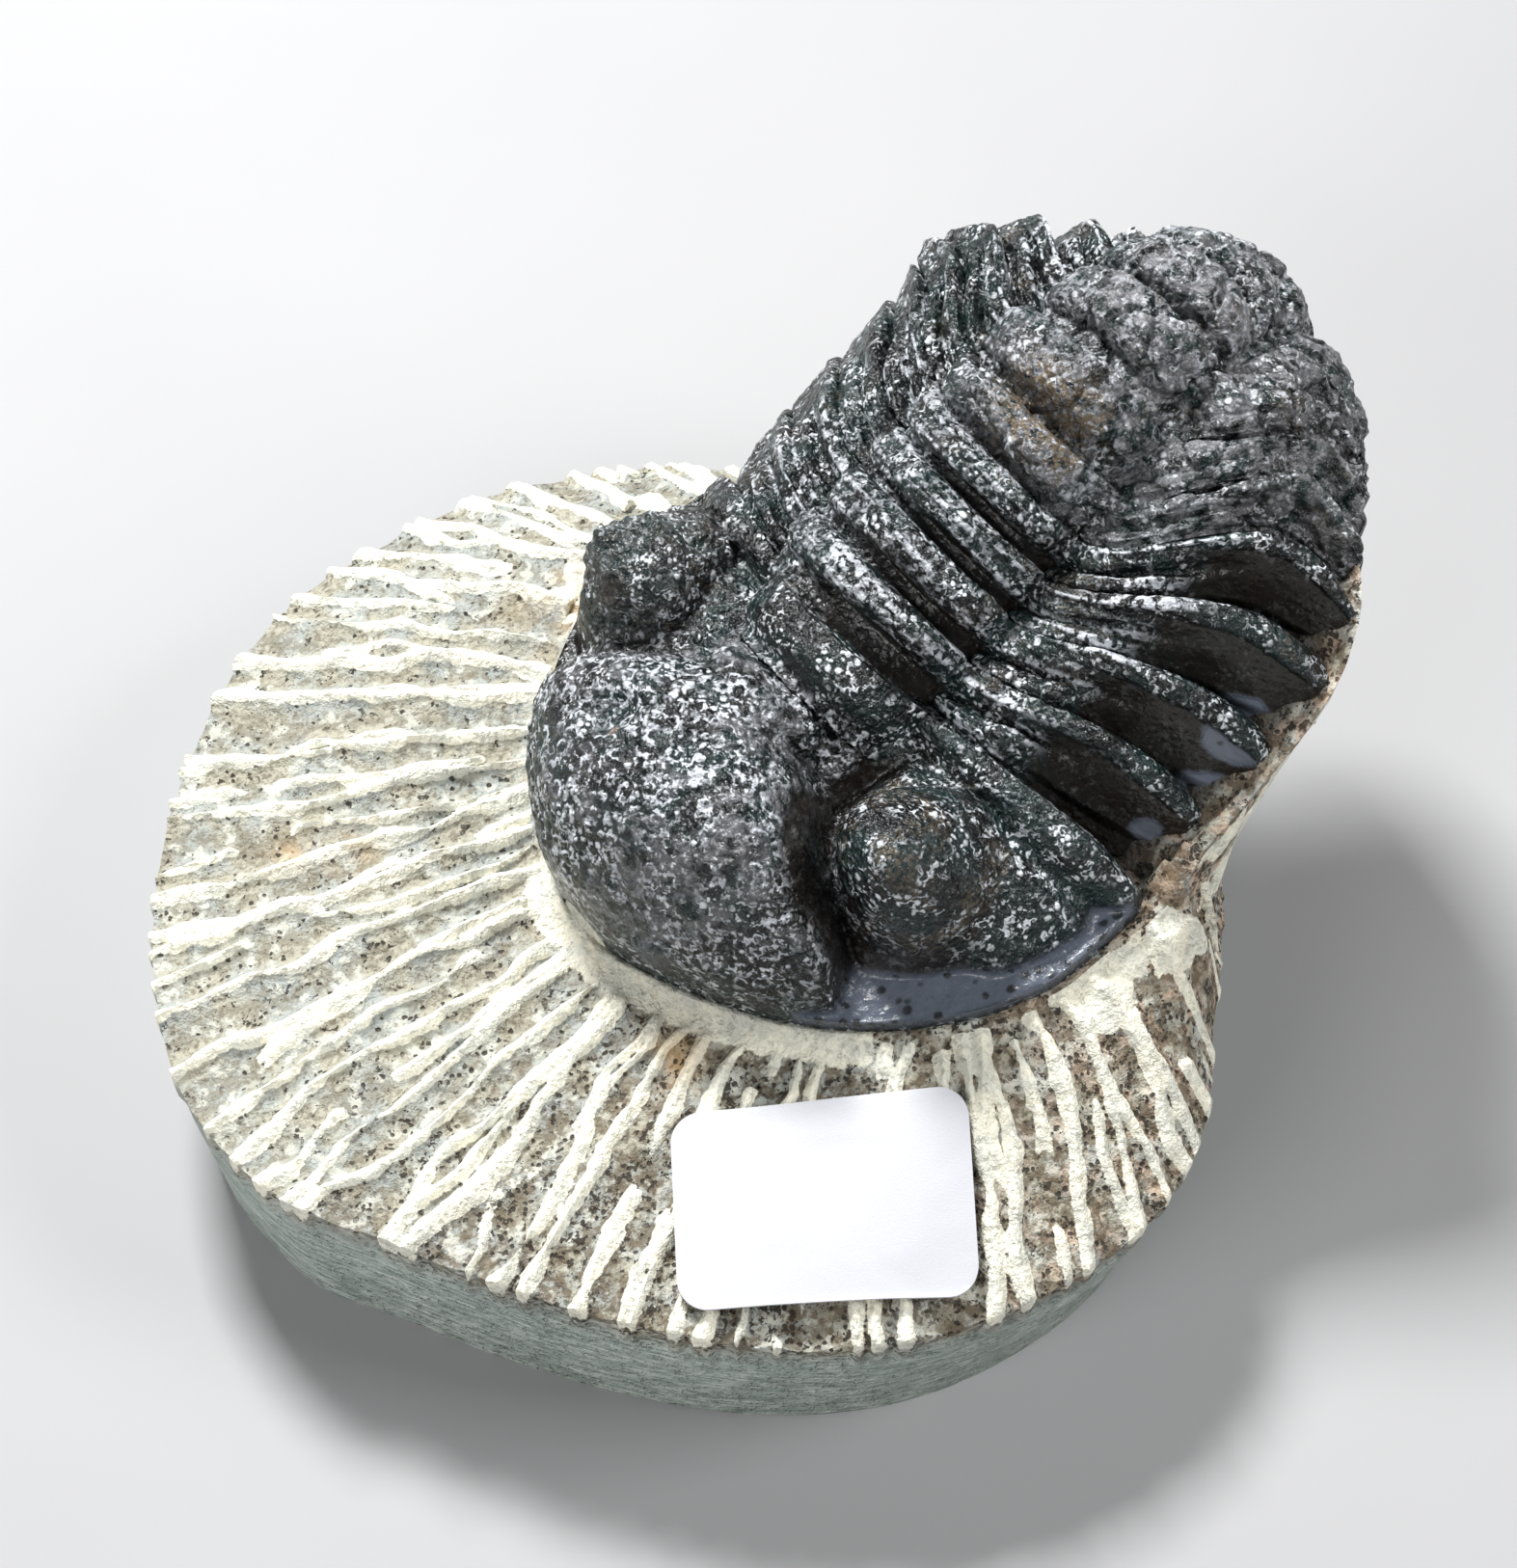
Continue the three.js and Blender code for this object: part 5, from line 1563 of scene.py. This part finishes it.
@dataclass(frozen=True)
class ShellFinish:
    """Black fossil shell with a waxy shine, pale painted glints and highlight rims, and brown dust.
    """

    dark: tuple[float, ...] = (0.004, 0.0045, 0.005, 1)
    blue: tuple[float, ...] = (0.008, 0.02, 0.02, 1)
    ash: tuple[float, ...] = (0.15, 0.15, 0.16, 1)
    # Painted highlight: pale colour for the glints on the granules.
    fleck: tuple[float, ...] = (0.82, 0.86, 0.90, 1)
    # Painted highlight: pale colour for the bright rims round granules and the streaks along the
    # ridges.
    rim: tuple[float, ...] = (0.62, 0.65, 0.70, 1)
    dust: tuple[float, ...] = (0.13, 0.10, 0.065, 1)
    polished: tuple[float, ...] = (0.013, 0.009, 0.007, 1)
    resin: tuple[float, ...] = (0.12, 0.14, 0.18, 1)
    bare: tuple[float, ...] = (0.38, 0.27, 0.22, 1)
    ring_size: float = 1.45

    def make(self, effects: Effects) -> bpy.types.Material:
        """Make the material."""
        material, w = new_material("fossil_shell")
        place = w.place()
        polish = w.mask("polish")
        resin = w.mask("resin")
        smoothed = w.math("MAXIMUM", w.math("MULTIPLY", polish, 0.75), resin)
        rough_part = w.math("SUBTRACT", 1.0, smoothed)
        cloud = effects.use(w, effects.patches, 3.6, Low=0.42, High=0.6).outputs["Mask"]
        colour = w.mix(cloud, self.dark, self.blue)
        ashy = w.math("MULTIPLY", w.mask("ashy"), w.rise(w.noise(place, 1.2, 3), 0.38, 0.62))
        colour = w.mix(ashy, colour, self.ash)
        many = w.rise(w.noise(place, 2.4, 3), 0.4, 0.6)
        broken = w.rise(w.noise(place, 0.7, 2), 0.45, 0.54)
        bent = w.add("ShaderNodeVectorMath")
        bent.operation = "MULTIPLY_ADD"
        warp = w.add("ShaderNodeTexNoise", Vector=place, Scale=1 / (0.6 * MM), Detail=2.0)
        w.feed(bent.inputs[0], warp.outputs["Color"])
        bent.inputs[1].default_value = (0.9 * MM,) * 3
        w.feed(bent.inputs[2], place)
        scale = 1 / (self.ring_size * MM)
        cell = w.add("ShaderNodeTexVoronoi", Vector=bent.outputs[0], Scale=scale)
        reach = cell.outputs["Distance"]
        # Painted highlights: pale rims round the granule cells and pale streaks along the ridges.
        outline = w.math("MULTIPLY", w.rise(reach, 0.30, 0.38), w.rise(reach, 0.56, 0.46))
        highlight_rims = w.math("MULTIPLY", w.math("MULTIPLY", w.mask("rings"), outline), broken)
        highlight_rims = w.math("MAXIMUM", highlight_rims, w.math("MULTIPLY", w.mask("highlight_streaks"), broken))
        highlight_rims = w.math("MULTIPLY", highlight_rims, rough_part)
        colour = w.mix(w.math("MULTIPLY", highlight_rims, 0.8), colour, self.rim)
        # Painted highlights: grains, coils and blobs of pale colour stand in for the glints on the
        # granules.
        grains = effects.use(w, effects.grains, 0.66, Chosen=0.14)
        fine = effects.use(w, effects.grains, 0.42, Chosen=0.14)
        coil = w.math("ABSOLUTE", w.math("SUBTRACT", w.noise(place, 1.2, 2), 0.5))
        in_part = w.rise(w.noise(place, 0.9, 2), 0.5, 0.56)
        coils = w.math("MULTIPLY", w.rise(coil, 0.04, 0.018), in_part)
        blobs = w.rise(w.noise(place, 0.6, 3, 0.6), 0.6, 0.67)
        marks = w.math("MAXIMUM", w.math("MULTIPLY", coils, 0.8), w.math("MULTIPLY", blobs, 0.6))
        dots = w.math("MAXIMUM", grains.outputs["Mask"], fine.outputs["Mask"])
        painted_glints = w.math("MULTIPLY", w.math("MAXIMUM", dots, marks), many)
        clean = w.math("SUBTRACT", 1.0, w.math("MULTIPLY", ashy, 0.6))
        painted_glints = w.math("MULTIPLY", painted_glints, w.math("MULTIPLY", rough_part, clean))
        colour = w.mix(w.math("MULTIPLY", painted_glints, 0.9), colour, self.fleck)
        dust = w.math("MULTIPLY", w.mask("dust"), w.rise(w.noise(place, 0.5, 2), 0.42, 0.58))
        colour = w.mix(dust, colour, self.dust)
        colour = w.mix(w.math("MULTIPLY", polish, 0.8), colour, self.polished)
        bubbles = effects.use(w, effects.grains, 0.9, Chosen=0.35).outputs["Mask"]
        clear = w.math("SUBTRACT", 1.0, w.math("MULTIPLY", bubbles, 0.85))
        glassy = w.math("MULTIPLY", resin, clear)
        colour = w.mix(glassy, colour, self.resin)
        colour = w.mix(w.mask("bare"), colour, self.bare)
        domes = w.math("MULTIPLY", w.rise(reach, 0.6, 0.1), w.mask("rings"))
        height = w.math("MULTIPLY", grains.outputs["Height"], 0.16)
        height = w.math("ADD", height, w.math("MULTIPLY", domes, 0.22))
        height = w.math("ADD", height, w.math("MULTIPLY", fine.outputs["Height"], 0.07))
        height = w.math("ADD", height, w.math("MULTIPLY", w.noise(place, 0.6, 3, 0.6), 0.45))
        height = w.math("MULTIPLY", height, rough_part)
        bump_node = w.add("ShaderNodeBump", Strength=1.0, Distance=MM, Height=height)
        roughness = w.math("ADD", 0.14, w.math("MULTIPLY", w.noise(place, 0.8, 3), 0.3))
        finish_material(w, colour, roughness, bump_node.outputs["Normal"])
        return material


@dataclass(frozen=True)
class PaperFinish:
    """White label paper."""

    white: tuple[float, ...] = (0.51, 0.515, 0.545, 1)
    shade: tuple[float, ...] = (0.46, 0.465, 0.50, 1)

    def make(self, effects: Effects) -> bpy.types.Material:
        """Make the material."""
        material, w = new_material("label_paper")
        cloud = effects.use(w, effects.patches, 6.0, Low=0.35, High=0.7).outputs["Mask"]
        fibre = w.noise(w.place(), 0.12, 3)
        colour = w.mix(w.math("MULTIPLY", cloud, 0.3), self.white, self.shade)
        bump_node = w.add("ShaderNodeBump", Strength=0.25, Distance=0.1 * MM, Height=fibre)
        finish_material(w, colour, 0.55, bump_node.outputs["Normal"])
        return material


@dataclass
class Studio:
    """Floor, soft lights and the camera at the photograph's angle."""

    elevation: float = 55.0
    distance: float = 300.0
    aim: tuple[float, float, float] = (5.034, 11.173, 15.0)
    focal_pixels: float = 4170.0
    image_width: float = 1573.0
    sensor: float = 36.0
    floor_half: float = 1500.0
    lit_point: tuple[float, float, float] = (0.0, 0.0, 20.0)

    def camera(self) -> None:
        """Place the camera."""
        data = bpy.data.cameras.new("camera")
        data.sensor_fit = "HORIZONTAL"
        data.sensor_width = self.sensor
        data.lens = self.focal_pixels / self.image_width * self.sensor
        data.clip_start = 0.01
        camera = bpy.data.objects.new("camera", data)
        tilt = math.radians(self.elevation)
        aim = Vector(self.aim) + Vector((*BLOCK_MIDDLE, 0))
        away = Vector((0, -math.cos(tilt), math.sin(tilt))) * self.distance
        camera.location = (aim + away) * MM
        camera.rotation_euler = (math.pi / 2 - tilt, 0, 0)
        bpy.context.scene.collection.objects.link(camera)
        bpy.context.scene.camera = camera

    def light(
        self, name: str, place: tuple[float, float, float], size: float, power: float
    ) -> None:
        """Add a soft area light that looks at the fossil.

        Args:
            name: Name of the light.
            place: Where it hangs, in millimetres.
            size: Side of its square, in millimetres.
            power: Power in watts.
        """
        data = bpy.data.lights.new(name, "AREA")
        data.size = size * MM
        data.energy = power
        lamp = bpy.data.objects.new(name, data)
        lamp.location = Vector(place) * MM
        towards = Vector(self.lit_point) - Vector(place)
        lamp.rotation_euler = towards.to_track_quat("-Z", "Y").to_euler()
        bpy.context.scene.collection.objects.link(lamp)

    def floor(self) -> None:
        """Lay the plain pale floor."""
        half = self.floor_half * MM
        mesh = bpy.data.meshes.new("floor")
        corners = [(-half, -half, 0), (half, -half, 0), (half, half, 0), (-half, half, 0)]
        mesh.from_pydata(corners, [], [(0, 1, 2, 3)])
        material, w = new_material("floor")
        grey = w.noise(w.place(), 30.0, 2)
        colour = w.mix(grey, (0.34, 0.34, 0.345, 1), (0.36, 0.36, 0.365, 1))
        shader = w.add("ShaderNodeBsdfPrincipled", Base_Color=colour, Roughness=0.7)
        w.add("ShaderNodeOutputMaterial", Surface=shader.outputs["BSDF"])
        mesh.materials.append(material)
        floor = bpy.data.objects.new("floor", mesh)
        bpy.context.scene.collection.objects.link(floor)

    def build(self) -> None:
        """Set up the whole studio."""
        self.camera()
        self.floor()
        self.light("key", (-150, 300, 450), 130, 5.8)
        self.light("fill", (-260, -330, 290), 240, 1.3)
        self.light("side", (330, -40, 300), 180, 1.2)
        world = bpy.data.worlds.new("studio")
        world.use_nodes = True
        background = world.node_tree.nodes["Background"]
        background.inputs["Color"].default_value = (0.75, 0.77, 0.8, 1)
        background.inputs["Strength"].default_value = 0.1
        bpy.context.scene.world = world
        bpy.context.scene.view_settings.view_transform = "Standard"


def corners(box: tuple[Vector, Vector]) -> list[list[float]]:
    """A box as plain lists of numbers."""
    return [[float(value) for value in corner] for corner in box]


def main() -> None:
    """Build the scene in order and report each piece."""
    logging.basicConfig(level=logging.INFO, format="%(name)s %(message)s")
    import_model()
    Studio().build()
    effects = Effects()
    stone = LimestoneFinish().make(effects)
    shell = ShellFinish().make(effects)
    paper = PaperFinish().make(effects)
    head = Head()
    line = BodyLine()
    thorax = Thorax(line)
    block = Block(head, line)
    settle(block.build(Grain(11), stone), "matrix")
    settle(head.build(Grain(23), shell), "cephalon")
    for number in range(1, len(line.lengths) + 1):
        plate = thorax.build(number, Grain(40), shell)
        settle(plate, f"thoracic_segment_{number:02d}")
    settle(Tail(line).build(Grain(40), shell), "pygidium")
    settle(Sticker().build(Grain(83), paper), "label")


if __name__ == "__main__":
    main()
